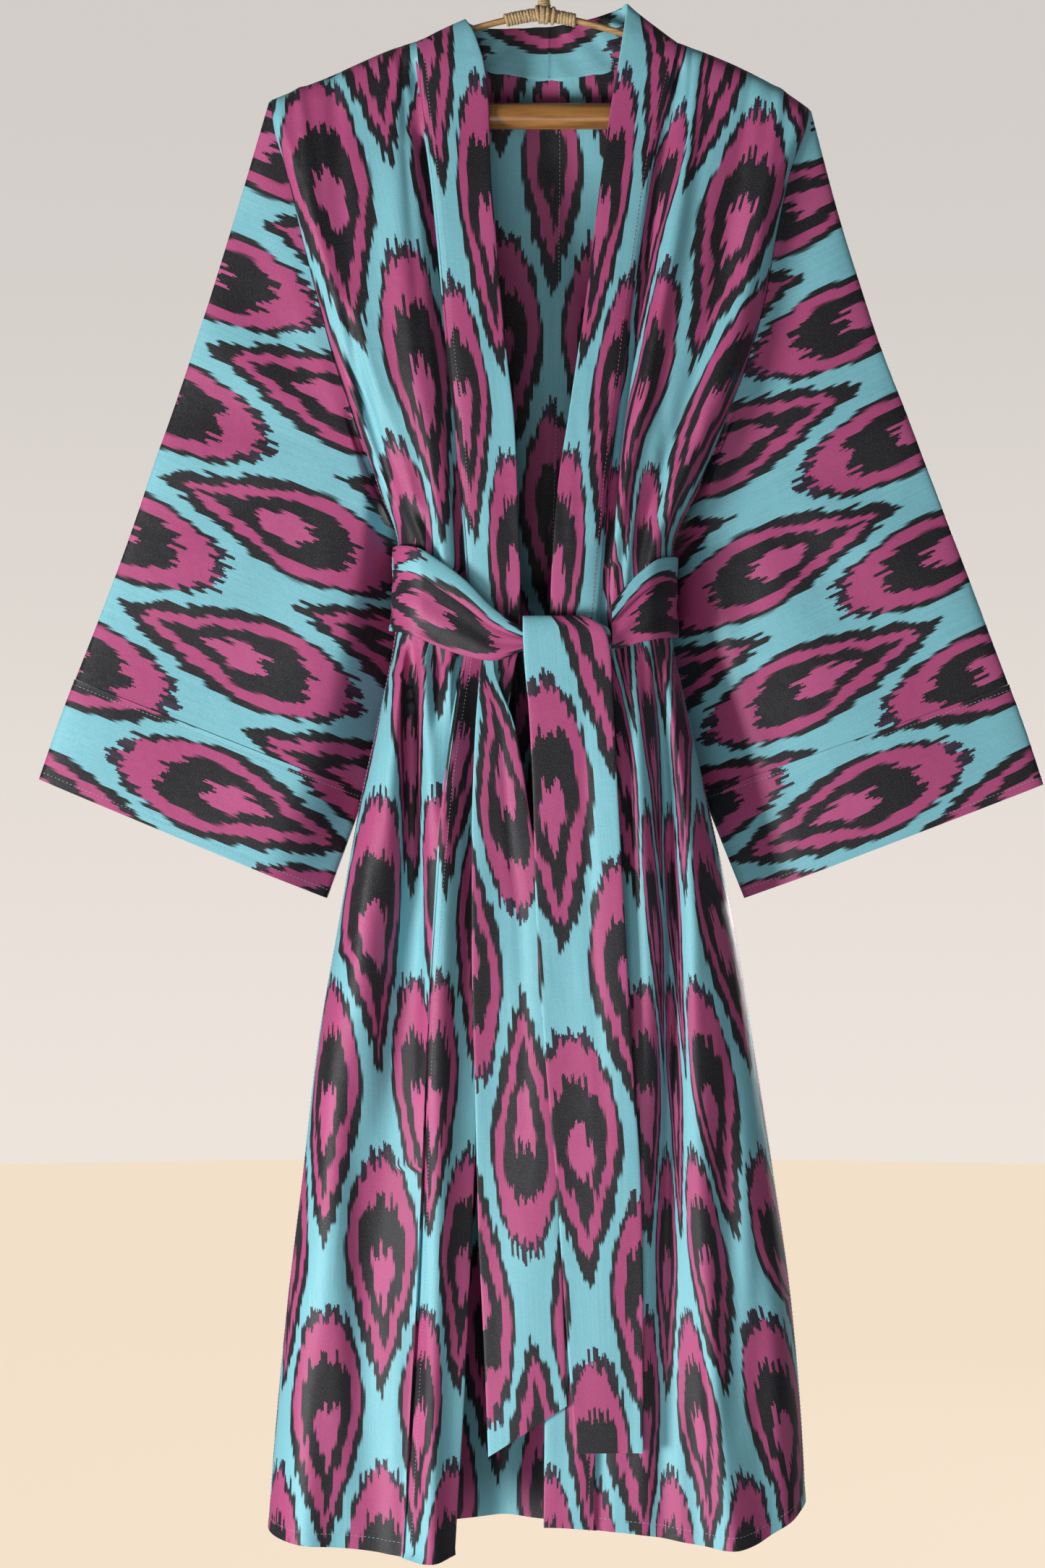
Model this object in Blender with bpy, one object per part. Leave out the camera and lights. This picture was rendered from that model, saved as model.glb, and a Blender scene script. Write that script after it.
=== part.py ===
"""Ikat caftan with its tie belt on a wooden hanger, modelled at real size.

The script works in millimetres: x to the right, y away from the viewer and drop
down from the top of the hook. Solids are written in metres, +Z up, with the
origin where a rail or a peg carries the hook.
"""

import bpy
import numpy as np

# Cloth, all in millimetres.
CLOTH_WALL = 1.2
DOUBLE_WALL = 2.0
SEAM_GAP = 0.4
RIDGE_ROUND = 7.0
RIDGE_POWER = 0.6

# Hanger, all in millimetres.
DOWEL_RADIUS = 10.5
DOWEL_HALF = 203.0
DOWEL_DROP = 153.0
DOWEL_CHAMFER = 1.5
STRIP_HALF = 198.0
STRIP_TOP = 69.0
STRIP_FALL = 67.5
STRIP_POWER = 1.35
STRIP_SEAT = 0.7
STRIP_WIDTH = 9.0
STRIP_THICK = 5.0
WRAP_HALF = 29.5
WRAP_RADIUS = 6.4
WRAP_TURNS = 10
WRAP_AROUND = 10
WRAP_GROOVE = 0.9
WRAP_CLEAR = 0.5
HOOK_WIRE = 1.7
HOOK_INNER = 20.0
HOOK_X = 3.0
HOOK_ARC = (-72, 205)
HOOK_STEM_TOP = 50.0
BASE_RADIUS = 4.6
BASE_HEIGHT = 8.8
BASE_PROFILE = ((0.0, 0.0), (0.34, 0.8), (0.68, 0.0), (1.0, -1.6))

# Where the pieces start and end, as drops in millimetres.
SHOULDER_LEVEL = 95.0
SHOULDER_RUN = 240.0
HEM_LEVEL = 1290.0
HEM_START = 1000.0
HEM_POWER = 1.5
UNDERARM_DROP = 430.0

# The lines of both fronts, seen from the front, by drop.
FRONT_COLUMNS = ("drop", "side_left", "seam_left", "edge_left", "edge_right", "seam_right", "side_right")
FRONT_LINES = (
    (80, -215.4, -100.0, -57.0, 66.0, 112.0, 215.0),
    (110, -215.4, -97.5, -45.7, 62.7, 107.5, 215.0),
    (150, -214.6, -93.5, -41.0, 55.8, 98.5, 214.6),
    (200, -202.0, -86.5, -39.5, 49.0, 87.0, 199.0),
    (250, -190.0, -81.0, -35.5, 42.5, 79.5, 188.0),
    (300, -177.0, -76.7, -31.6, 36.5, 72.2, 179.0),
    (350, -163.5, -72.2, -26.5, 29.0, 66.0, 165.0),
    (400, -146.5, -66.0, -20.8, 21.5, 59.5, 146.5),
    (450, -129.0, -62.3, -18.4, 14.0, 54.0, 126.5),
    (500, -113.0, -58.5, -16.5, 9.8, 49.0, 106.0),
    (535, -113.0, -56.5, -15.8, 8.0, 46.0, 104.0),
    (571, -116.0, -57.0, -16.5, 7.0, 44.0, 105.5),
    (620, -125.5, -64.0, -24.0, 7.0, 45.0, 115.0),
    (700, -143.0, -75.0, -34.0, 7.0, 46.0, 133.0),
    (800, -161.0, -83.0, -42.0, 6.0, 46.0, 154.0),
    (900, -178.0, -89.0, -48.0, 6.0, 46.0, 170.5),
    (1000, -189.5, -93.0, -52.0, 5.0, 45.0, 186.0),
    (1100, -201.5, -97.5, -57.0, 4.0, 44.0, 200.0),
    (1200, -211.0, -103.0, -62.0, 3.0, 43.0, 208.5),
    (1300, -218.5, -108.0, -67.0, 2.0, 42.0, 213.5),
)

# How far the cloth stands before and behind the side seam, and how wide it turns.
DEPTH_COLUMNS = ("drop", "front", "back", "turn", "centre_back")
DEPTH_LINES = (
    (70, 12.5, 14.0, 8.0, 8.0),
    (150, 15.0, 16.0, 9.0, 9.0),
    (200, 21.0, 22.0, 13.0, 10.0),
    (300, 31.0, 30.0, 19.0, 10.0),
    (400, 39.0, 34.0, 22.0, 9.0),
    (500, 44.0, 36.0, 23.0, 8.0),
    (571, 46.0, 37.0, 24.0, 8.0),
    (700, 51.0, 43.0, 29.0, 7.0),
    (900, 54.0, 49.0, 33.0, 5.0),
    (1100, 57.0, 55.0, 36.0, 3.0),
    (1300, 60.0, 60.0, 38.0, 2.0),
)

# The ridge that the cloth makes over the hanger, from the left tip to the right one.
RIDGE_COLUMNS = ("x", "drop")
RIDGE_LINE = (
    (-216, 141.0), (-168, 121.5), (-116, 99.0), (-99, 93.5), (-70, 82.0), (0, 72.0),
    (70, 82.0), (111, 95.0), (168, 118.5), (196, 134.4), (216, 148.0),
)

# The hem, front and back, by x.
HEM_COLUMNS = ("x", "front", "back")
HEM_LINE = (
    (-220, 1280, 1280), (-150, 1287, 1284), (-84, 1294, 1287), (-66, 1289, 1287), (2, 1270, 1287),
    (60, 1274, 1284), (152, 1285, 1272), (214, 1259, 1259),
)

# The neck seam of the back, where the collar stands on it, by x.
NECK_COLUMNS = ("x", "drop")
NECK_TURN = 0.38
NECK_EASE = 0.05
CENTRE_GAP = 0.3
NECK_LINE = (
    (-98.8, 93.5), (-86, 101.0), (-44, 113.0), (9, 121.0), (61, 112.5), (96, 102.0), (109.8, 94.8),
)

# The free edge of the band, as x, y and drop, from the front of each neck side to the centre back.
COLLAR_EDGE_LEFT = (
    (-45.7, -14.5, 109.0), (-53.0, -10.5, 88.0), (-59.0, -3.0, 77.0), (-56.0, 8.0, 77.5),
    (-44.0, 14.0, 79.5), (-22.0, 17.0, 79.0), (8.0, 17.5, 77.5),
)
COLLAR_EDGE_RIGHT = (
    (62.7, -14.5, 111.0), (67.0, -11.0, 82.0), (69.0, -2.5, 64.0), (64.0, 9.0, 65.0),
    (50.0, 14.5, 69.0), (30.0, 17.0, 74.0), (8.0, 17.5, 77.5),
)

# Folds: each is a soft ridge (rise over 0) or trough along a line, with its width.
FOLD_COLUMNS = ("drop", "x", "rise", "width")
FOLDS_LEFT = (
    ((95, -106, 0, 6), (150, -99, -4, 7), (300, -83, -5, 7), (450, -68, -5, 6), (540, -61, -2, 5),
     (600, -61, 0, 5)),
    ((110, -124, 0, 14), (220, -112, 4, 14), (360, -97, 5, 12), (480, -76, 4, 8), (560, -72, 0, 7)),
    ((300, -160, 0, 6), (325, -152, -5, 6), (381, -139, -9, 7), (449, -118, -10, 6),
     (500, -99, -5, 5), (560, -96, 0, 5)),
    ((320, -148, 0, 6), (381, -130, 3, 6), (449, -110, 5, 6), (505, -91, 3, 5), (560, -90, 0, 5)),
    ((340, -146, 0, 6), (411, -120, -5, 5), (457, -107, -7, 5), (507, -84, -3, 5), (560, -83, 0, 5)),
    ((566, -110, 0, 6), (600, -113, 5, 8), (700, -128, 7, 14), (900, -160, 5, 22), (1290, -190, 4, 26)),
    ((566, -101, 0, 5), (600, -102, -9, 6), (717, -101, -18, 10), (820, -106, -16, 15),
     (1000, -124, -9, 20), (1290, -140, -5, 24)),
    ((566, -92, 0, 5), (600, -91, 6, 6), (680, -88, 5, 9), (760, -86, 0, 10)),
    ((566, -83, 0, 4), (600, -82, -6, 5), (660, -80, -3, 7), (720, -78, 0, 8)),
    ((566, -69, 0, 6), (610, -70, 8, 9), (717, -76, 13, 14), (900, -82, 16, 17),
     (1100, -82, 19, 19), (1290, -86, 22, 20)),
    ((566, -44, 0, 7), (620, -47, -4, 10), (720, -50, -4, 12), (1000, -58, 0, 12)),
)
FOLDS_RIGHT = (
    ((95, 116, 0, 6), (150, 106, -3, 6), (256, 88, -9, 7), (350, 73, -11, 7), (450, 57, -9, 6),
     (530, 48, -3, 5), (580, 46, 0, 5)),
    ((100, 124, 0, 8), (171, 117, 5, 8), (256, 105, 8, 9), (350, 88, 9, 9), (450, 67, 8, 8),
     (530, 54, 3, 6), (570, 54, 0, 6)),
    ((150, 160, 0, 12), (260, 146, -4, 12), (380, 118, -5, 10), (480, 84, -5, 7), (550, 74, 0, 6)),
    ((330, 150, 0, 8), (420, 124, 5, 8), (470, 104, 6, 7), (530, 84, 2, 6), (560, 84, 0, 6)),
    ((400, 140, 0, 5), (440, 124, -6, 5), (480, 108, -4, 5), (540, 93, 0, 5)),
    ((566, 72, 0, 6), (610, 73, 7, 8), (700, 78, 10, 10), (850, 82, 8, 12), (1050, 82, 2, 13),
     (1200, 82, 0, 13)),
    ((566, 91, 0, 5), (600, 93, -9, 6), (700, 99, -15, 8), (813, 103, -16, 9), (986, 101, -14, 10),
     (1096, 101, -9, 12), (1290, 92, -3, 14)),
    ((566, 98, 0, 4), (610, 102, 4, 5), (720, 116, 7, 11), (900, 122, 10, 14), (1039, 124, 14, 15),
     (1226, 145, 16, 17), (1290, 152, 18, 18)),
    ((640, 128, 0, 8), (760, 144, -3, 12), (900, 156, -3, 16), (1100, 176, -2, 18),
     (1290, 184, -3, 20)),
)
FOLDS_BACK = (
    ((150, -70, 0, 14), (300, -66, 4, 16), (450, -58, 5, 12), (540, -52, 1, 8), (580, -52, 0, 8)),
    ((200, -122, 0, 10), (330, -112, -6, 10), (460, -92, -6, 8), (540, -84, 0, 6)),
    ((180, 60, 0, 14), (320, 56, 4, 16), (460, 48, 5, 12), (540, 44, 1, 8), (580, 44, 0, 8)),
    ((200, 124, 0, 10), (330, 112, -6, 10), (460, 86, -6, 8), (540, 78, 0, 6)),
    ((566, -84, 0, 6), (620, -88, 7, 8), (760, -104, 12, 14), (1000, -124, 14, 20),
     (1290, -138, 16, 24)),
    ((566, -62, 0, 6), (620, -62, -7, 7), (760, -66, -12, 12), (1000, -72, -12, 17),
     (1290, -78, -11, 20)),
    ((566, -34, 0, 6), (620, -34, 6, 8), (760, -33, 10, 13), (1000, -30, 11, 18), (1290, -28, 12, 20)),
    ((566, 4, 0, 6), (620, 4, -4, 8), (760, 6, -7, 14), (1000, 8, -8, 18), (1290, 8, -8, 20)),
    ((566, 42, 0, 6), (620, 44, 6, 8), (760, 50, 10, 13), (1000, 56, 12, 17), (1290, 62, 13, 20)),
    ((566, 68, 0, 6), (620, 72, -6, 7), (760, 84, -11, 12), (1000, 98, -11, 17), (1290, 108, -10, 20)),
    ((566, 88, 0, 5), (620, 96, 5, 8), (760, 116, 9, 13), (1000, 140, 10, 18), (1290, 156, 11, 22)),
)

# Sleeves: the outer fold as x and drop, and the under fold as an offset from the side line of the body.
OUTER_LEFT = (
    (-216.9, 142.0), (-244, 234), (-277, 340), (-305, 422), (-337, 514), (-379, 624), (-400, 684),
)
OUTER_RIGHT = (
    (216.6, 149.0), (239, 234), (264, 315), (289, 382), (324, 474), (360, 571), (384, 634),
    (402, 688),
)
UNDER_COLUMNS = ("drop", "inward", "y")
UNDER_LINE = (
    (430, -1.9, 1.5), (450, -5.0, 13.0), (475, -1.0, 27.0), (500, 4.0, 36.0), (535, 5.5, 40.0),
    (571, 5.5, 40.0),
    (620, 5.5, 39.0), (665, 4.0, 35.0), (700, -1.0, 28.0), (779, -15.0, 14.0),
)
SLEEVE_COLUMNS = ("along", "half_depth", "tip_y")
SLEEVE_DEPTH = ((0.0, 9.5, 0.0), (0.3, 8.5, -1.0), (0.7, 8.5, -1.0), (1.0, 11.5, -2.0))
CUFF_OUTER = 0.852
CUFF_UNDER = 0.758
ARMHOLE_CLEAR = 1.5
ARMHOLE_GAP = 1.9
UNDERARM_GAP = 1.9
BULGE_RUN = 0.3
BULGE_POWER = 1.5
BULGE_SQUARE = 0.25
LENS_POWER = 0.7
TUCK_START = 0.78

# The belt: its upper and lower edge by x, and how far it stands before the cloth.
BELT_COLUMNS = ("x", "top", "bottom", "stand")
BELT_LEFT = (
    (-122, 499, 565, 4.0), (-100, 502, 571, 4.5), (-80, 513, 580, 6.0), (-60, 528, 587, 7.5),
    (-38, 550, 591, 8.5), (-14, 567, 583, 9.0),
)
BELT_RIGHT = (
    (112, 508, 571, 4.0), (95, 511, 573, 4.5), (80, 521, 576, 6.0), (66, 535, 580, 7.5),
    (56, 548, 583, 8.5),
)
BELT_BACK = ((-125, 499, 565, 4.0), (0, 504, 571, 4.0), (115, 508, 571, 4.0))
BELT_LEVEL = 535.0
BELT_PUFF = 1.6
BELT_TURN_MORE = 3.0
BELT_SPLIT = 0.62
BELT_BACK_SPLIT = 0.14
BELT_BACK_STAND = 7.0
TAIL_PUFF = 1.2
TAIL_OVER = (11.0, 3.0)
BELT_SIDE = 4.6
TAIL_COLUMNS = ("drop", "left", "right", "y")
TAIL_RIGHT = (
    (556.5, -14, 36, -60.5), (566, -14, 50, -63.5), (590, -13, 55, -64.5), (628, -9.5, 57, -66.0),
    (700, -6, 60.5, -66.5),
    (780, -4, 65, -66.5), (900, 3.5, 71.5, -67.0), (1001, 12, 78, -68.0), (1110, 19, 80, -69.0),
    (1223, 27, 80, -70.0),
)
TAIL_LEFT = (
    (578, -44, -15, -50.5), (596, -47, -13, -53.5), (620, -49.5, -9, -58.5),
    (650, -51.5, -2, -60.5), (730, -54, 3, -60.5),
    (810, -54, 8, -60.5), (920, -51.5, 11, -61.0), (1045, -48.5, 14, -62.0),
    (1105, -45.5, 17, -62.5), (1214, -41, 21, -63.0),
)
TAIL_SLANT = 40.0
KNOT_CENTRE = (21.2, -54.4, 575.0)
KNOT_HALF = (34.0, 6.6, 15.5)

# Rows and columns of the solids.
LEVELS = (
    95, 95.8, 98, 103, 113, 130, 152, 180, 212, 245, 280, 315, 350, 385, 410, 430, 452, 476, 505, 535, 566,
    590, 616, 650, 690, 738, 795, 860, 935, 1015, 1100, 1195, 1290,
)
PANEL_SPLIT = 0.8
PANEL_FLAT = 12
PANEL_TURN = 3
BAND_COLUMNS = 4
BACK_FLAT = 12
NECK_STEP = 0.016
SLEEVE_AROUND = 24
SLEEVE_ROWS = 16
CUFF_ROWS = 3
SLEEVE_END = 0.9995
CUFF_START = 1.006
COLLAR_ROWS = (-1, -0.9, -0.8, -0.7, -0.61, -0.53, -0.47, -0.425, -0.38, -0.34, -0.28, -0.18, -0.08)
BELT_ROWS = 9
BELT_ACROSS = 4
TAIL_ROWS = 22
TAIL_ACROSS = 4


def through(table, column):
    """A smooth function through one column of a table, monotone between its rows."""
    rows = np.array(table, float)
    at, value = rows[:, 0], rows[:, column]
    step, rise = np.diff(at), np.diff(value)
    slope = rise / step
    mid = np.zeros(len(at))
    mid[0], mid[-1] = slope[0], slope[-1]
    for i in range(1, len(at) - 1):
        before, after = slope[i - 1], slope[i]
        if before * after > 0:
            weight_a, weight_b = 2 * step[i] + step[i - 1], step[i] + 2 * step[i - 1]
            mid[i] = (weight_a + weight_b) / (weight_a / before + weight_b / after)

    def read(x):
        x = np.clip(np.asarray(x, float), at[0], at[-1])
        i = np.clip(np.searchsorted(at, x, side="right") - 1, 0, len(step) - 1)
        t = (x - at[i]) / step[i]
        a, b = value[i], value[i + 1]
        m, n = mid[i] * step[i], mid[i + 1] * step[i]
        return a + t * (m + t * (3 * (b - a) - 2 * m - n + t * (m + n - 2 * (b - a))))

    return read


def columns(names, table):
    """Every column of a table but the first, as smooth functions of the first."""
    return {name: through(table, i) for i, name in enumerate(names) if i}


def smooth(x, low=0.0, high=1.0):
    """0 below low, 1 above high and a smooth step between them."""
    t = np.clip((np.asarray(x, float) - low) / (high - low), 0, 1)
    return t * t * (3 - 2 * t)


LINES = columns(FRONT_COLUMNS, FRONT_LINES)
DEPTHS = columns(DEPTH_COLUMNS, DEPTH_LINES)
RIDGE = columns(RIDGE_COLUMNS, RIDGE_LINE)["drop"]
HEM = columns(HEM_COLUMNS, HEM_LINE)
NECK = columns(NECK_COLUMNS, NECK_LINE)["drop"]


def fold_functions(folds):
    return [(fold[0][0], fold[-1][0], columns(FOLD_COLUMNS, fold)) for fold in folds]


FOLDS = {
    "left": fold_functions(FOLDS_LEFT),
    "right": fold_functions(FOLDS_RIGHT),
    "back": fold_functions(FOLDS_BACK),
}


def folded(which, x, drop):
    """How far the folds of a piece push its cloth outwards, in millimetres."""
    total = np.zeros(np.broadcast(x, drop).shape)
    for first, last, fold in FOLDS[which]:
        inside = drop >= first
        if last < HEM_LEVEL:
            inside = inside & (drop <= last)
        bump = fold["rise"](drop) * np.exp(-(((x - fold["x"](drop)) / fold["width"](drop)) ** 2))
        total = total + np.where(inside, bump, 0.0)
    return total


def lens(q):
    """The half depth of a sleeve across its width, over its greatest half depth."""
    q = np.clip(q, 0, 1)
    return (2 * np.sqrt(q * (1 - q))) ** LENS_POWER


def armhole_half(drop, tip):
    """Half of the slot between front and back where a sleeve opens into the body."""
    q = (np.asarray(drop, float) - tip) / (UNDERARM_DROP - tip)
    opened = SLEEVE_DEPTH[0][1] * lens(q) - ARMHOLE_CLEAR
    return np.maximum(opened, SEAM_GAP / 2)


def cloth_depth(which, x, drop):
    """Distance of the hanging cloth from the hanger's plane, at a place seen from the front."""
    side = "back" if which == "back" else "front"
    fall = np.maximum(drop - RIDGE(x), 0)
    rounded = (1 - np.exp(-fall / RIDGE_ROUND)) ** RIDGE_POWER
    return DEPTHS[side](drop) * rounded + folded(which, x, drop) * smooth(fall, 4, 50)


def side_line(hand, drop):
    return LINES["side_" + hand](drop)


def shoulder_share(level):
    """How much of the shoulder's own rise a row takes: 1 on the ridge, 0 a hand's width below."""
    return np.clip(1 - (level - SHOULDER_LEVEL) / SHOULDER_RUN, 0, 1) ** 2


def hem_share(level):
    """How much of the hem's own fall a row takes: 0 above the knees, 1 at the hem."""
    return np.clip((level - HEM_START) / (HEM_LEVEL - HEM_START), 0, 1) ** HEM_POWER


def quick_start(t):
    """0 to 1, faster at its end."""
    t = np.clip(t, 0, 1)
    return t * (0.55 + 0.45 * t)


def panel_place(which, hand, start, top_line, u, level):
    """A point of a front or back panel. u runs from its inner seam at 0 to its side seam at 1."""
    sign = -1.0 if hand == "left" else 1.0
    u, level = np.broadcast_arrays(np.asarray(u, float), np.asarray(level, float))
    angle = np.clip((u - PANEL_SPLIT) / (1 - PANEL_SPLIT), 0, 1) * np.pi / 2

    def across(drop):
        inner = start(drop) + sign * SEAM_GAP / 2
        turn = DEPTHS["turn"](drop)
        flat = side_line(hand, drop) - sign * turn
        straight = inner + (flat - inner) * u / PANEL_SPLIT
        return np.where(u < PANEL_SPLIT, straight, flat + sign * turn * np.sin(angle))

    top = np.full(u.shape, SHOULDER_LEVEL)
    for _ in range(8):
        top = top_line(across(top))
    hem = HEM["back" if which == "back" else "front"](across(HEM_LEVEL + 0 * u))
    drop = level + (top - SHOULDER_LEVEL) * shoulder_share(level) + (hem - HEM_LEVEL) * hem_share(level)
    x = across(drop)
    end = armhole_half(drop, OUTER_LEFT[0][1] if hand == "left" else OUTER_RIGHT[0][1])
    depth = end + (cloth_depth(which, x, drop) - end) * np.cos(angle)
    return x, np.maximum(depth, 0) + SEAM_GAP / 2, drop


def front_point(hand):
    """The surface of one front panel, from the band's seam to the side."""
    start = LINES["seam_" + hand]

    def place(u, level):
        x, depth, drop = panel_place(hand, hand, start, RIDGE, u, level)
        return x, -depth, drop

    return place


def back_top(x):
    """The upper edge of the back: the neck seam between the shoulders, and the ridge beyond it."""
    inside = (x > NECK_LINE[0][0]) & (x < NECK_LINE[-1][0])
    return np.where(inside, np.maximum(NECK(x) + SEAM_GAP * 2, RIDGE(x)), RIDGE(x))


def back_point(hand):
    """The surface of one back half, from the centre-back seam to the side."""
    return lambda u, level: panel_place("back", hand, DEPTHS["centre_back"], back_top, u, level)


def spline(points, t):
    """A Catmull-Rom curve through points, t from 0 to 1 by chord length."""
    points = np.array(points, float)
    chord = np.concatenate([[0], np.cumsum(np.linalg.norm(np.diff(points, axis=0), axis=1))])
    at = np.clip(np.asarray(t, float), 0, 1) * chord[-1]
    i = np.clip(np.searchsorted(chord, at, side="right") - 1, 0, len(chord) - 2)
    step = np.diff(chord)
    tangent = np.empty_like(points)
    tangent[0] = (points[1] - points[0]) / step[0]
    tangent[-1] = (points[-1] - points[-2]) / step[-1]
    for k in range(1, len(points) - 1):
        tangent[k] = (points[k + 1] - points[k - 1]) / (chord[k + 1] - chord[k - 1])
    s = ((at - chord[i]) / step[i])[..., None]
    width = step[i][..., None]
    a, b, m, n = points[i], points[i + 1], tangent[i] * width, tangent[i + 1] * width
    return a + s * (m + s * (3 * (b - a) - 2 * m - n + s * (m + n - 2 * (b - a))))


def band_point(hand):
    """One band: from the hem up its front edge, over the neck side, to the centre-back seam.

    across is 0 at the seam and 1 at the free edge. along is 1 at the hem, 0 where the band
    leaves the front for the neck, and -1 at the centre back.
    """
    sign = -1.0 if hand == "left" else 1.0
    edge_table = COLLAR_EDGE_LEFT if hand == "left" else COLLAR_EDGE_RIGHT
    join_level = edge_table[0][2]
    seam_x, edge_x = LINES["seam_" + hand], LINES["edge_" + hand]
    neck_start = (NECK_LINE[0][0] if hand == "left" else NECK_LINE[-1][0]) - sign * SEAM_GAP
    centre = DEPTHS["centre_back"](SHOULDER_LEVEL)

    def on_front(across, level):
        hem_x = seam_x(HEM_LEVEL) + across * (edge_x(HEM_LEVEL) - seam_x(HEM_LEVEL))
        sink = (HEM["front"](hem_x) - HEM_LEVEL) * hem_share(level)
        lift = (RIDGE(seam_x(SHOULDER_LEVEL)) - SHOULDER_LEVEL) * shoulder_share(level)
        drop = level + lift + sink
        inner = seam_x(drop) - sign * SEAM_GAP / 2
        x = inner + across * (edge_x(drop) - inner)
        return np.stack([x, -cloth_depth(hand, x, drop) - SEAM_GAP / 2, drop + 0 * x], -1)

    def seam_over(t):
        """The seam from the top front level round the neck, t from 0 to 1."""
        level = join_level + (SHOULDER_LEVEL - join_level) * np.clip(t / NECK_TURN, 0, 1)
        front = on_front(np.zeros_like(t), level)
        round_neck = quick_start((t - NECK_TURN) / (1 - NECK_TURN))
        x = neck_start + (centre + sign * CENTRE_GAP - neck_start) * round_neck
        drop = NECK(x)
        y = cloth_depth("back", x, drop) * np.clip((t - NECK_TURN) / NECK_EASE, 0, 1) + SEAM_GAP / 2
        clear = SEAM_GAP * (1 + 1.5 * (1 - smooth(t, NECK_TURN, NECK_TURN + 3 * NECK_EASE)))
        back = np.stack([x, y, drop - clear], -1)
        return np.where((t < NECK_TURN)[..., None], front, back)

    def point(across, along):
        across, along = np.broadcast_arrays(np.asarray(across, float), np.asarray(along, float))
        lower = on_front(across, join_level + (HEM_LEVEL - join_level) * np.maximum(along, 0))
        t = np.clip(-along, 0, 1)
        seam = seam_over(t)
        edge = spline(edge_table, t)
        edge[..., 0] += sign * CENTRE_GAP * smooth(t, 0.9, 1)
        start_edge = on_front(np.ones_like(across), np.full_like(along, join_level))
        miss = start_edge - spline(edge_table, np.zeros_like(t))
        edge = edge + miss * (1 - smooth(t, 0, 0.4))[..., None]
        upper = seam + across[..., None] * (edge - seam)
        start_row = on_front(across, np.full_like(along, join_level))
        start_ruled = on_front(np.zeros_like(across), np.full_like(along, join_level))
        start_ruled = start_ruled + across[..., None] * (start_edge - start_ruled)
        upper = upper + (start_row - start_ruled) * (1 - smooth(t, 0, 0.25))[..., None]
        mixed = np.where((along > 0)[..., None], lower, upper)
        return mixed[..., 0], mixed[..., 1], mixed[..., 2]

    return point


def fold_share(along, cuff):
    """The share of a fold's length at a row: cuff is the share where the cuff is sewn on."""
    return np.where(along < 1, along * cuff, cuff + (along - 1) * (1 - cuff))


def sleeve_point(hand):
    """A sleeve with its cuff. turn is the angle round it: 0 at its outer fold, pi at its under fold."""
    sign = -1.0 if hand == "left" else 1.0
    outer = np.array(OUTER_LEFT if hand == "left" else OUTER_RIGHT, float)
    tip = outer[0, 1]
    under = np.array(
        [(side_line(hand, drop) - sign * inward, y, drop) for drop, inward, y in UNDER_LINE], float
    )
    depth = columns(SLEEVE_COLUMNS, SLEEVE_DEPTH)

    def point(turn, along):
        turn, along = np.broadcast_arrays(np.asarray(turn, float), np.asarray(along, float))
        outer_share = fold_share(along, CUFF_OUTER)
        under_share = fold_share(along, CUFF_UNDER)
        fold = spline(outer, outer_share)
        low = spline(under, under_share)
        q = (1 - np.cos(turn)) / 2
        x = fold[..., 0] + q * (low[..., 0] - fold[..., 0])
        drop = fold[..., 1] + q * (low[..., 2] - fold[..., 1])
        start_drop = tip + q * (UNDERARM_DROP - tip)
        start_low = side_line(hand, UNDERARM_DROP) + sign * UNDERARM_GAP
        chord = outer[0, 0] + q * (start_low - outer[0, 0])
        wanted = side_line(hand, start_drop) + sign * ARMHOLE_GAP
        bulge = (wanted - chord) * np.sin(np.clip(q, 0, 1) * np.pi) ** BULGE_SQUARE
        x = x + bulge * np.clip(1 - outer_share / BULGE_RUN, 0, 1) ** BULGE_POWER
        tuck = smooth(q, TUCK_START, 1.0)
        middle = depth["tip_y"](outer_share) * (1 - q) + low[..., 1] * tuck
        half = depth["half_depth"](outer_share) * np.abs(np.sin(turn)) ** LENS_POWER
        y = middle - half * np.sign(np.sin(turn))
        return x, y, drop

    return point


def belt_point(hand):
    """The belt over one front: across is 0 at the upper edge, along runs from the knot to the side."""
    sign = -1.0 if hand == "left" else 1.0
    table = sorted(BELT_LEFT if hand == "left" else BELT_RIGHT)
    belt = columns(BELT_COLUMNS, table)
    knot_x = BELT_LEFT[-1][0] if hand == "left" else BELT_RIGHT[-1][0]

    def point(across, along):
        across, along = np.broadcast_arrays(np.asarray(across, float), np.asarray(along, float))
        side_x = side_line(hand, BELT_LEVEL)
        side_drop = belt["top"](side_x) + across * (belt["bottom"](side_x) - belt["top"](side_x))
        reach = side_line(hand, side_drop) + sign * BELT_SIDE
        turn = DEPTHS["turn"](BELT_LEVEL) + BELT_TURN_MORE
        flat = reach - sign * turn
        angle = np.clip((along - BELT_SPLIT) / (1 - BELT_SPLIT), 0, 1) * np.pi / 2
        straight = knot_x + (flat - knot_x) * along / BELT_SPLIT
        x = np.where(along < BELT_SPLIT, straight, flat + sign * turn * np.sin(angle))
        drop = belt["top"](x) + across * (belt["bottom"](x) - belt["top"](x))
        stand = DEPTHS["front"](drop) + belt["stand"](x) + BELT_PUFF * np.sin(np.pi * across)
        y = -stand * np.cos(angle) - SEAM_GAP / 2
        return x, y, drop

    return point


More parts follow.
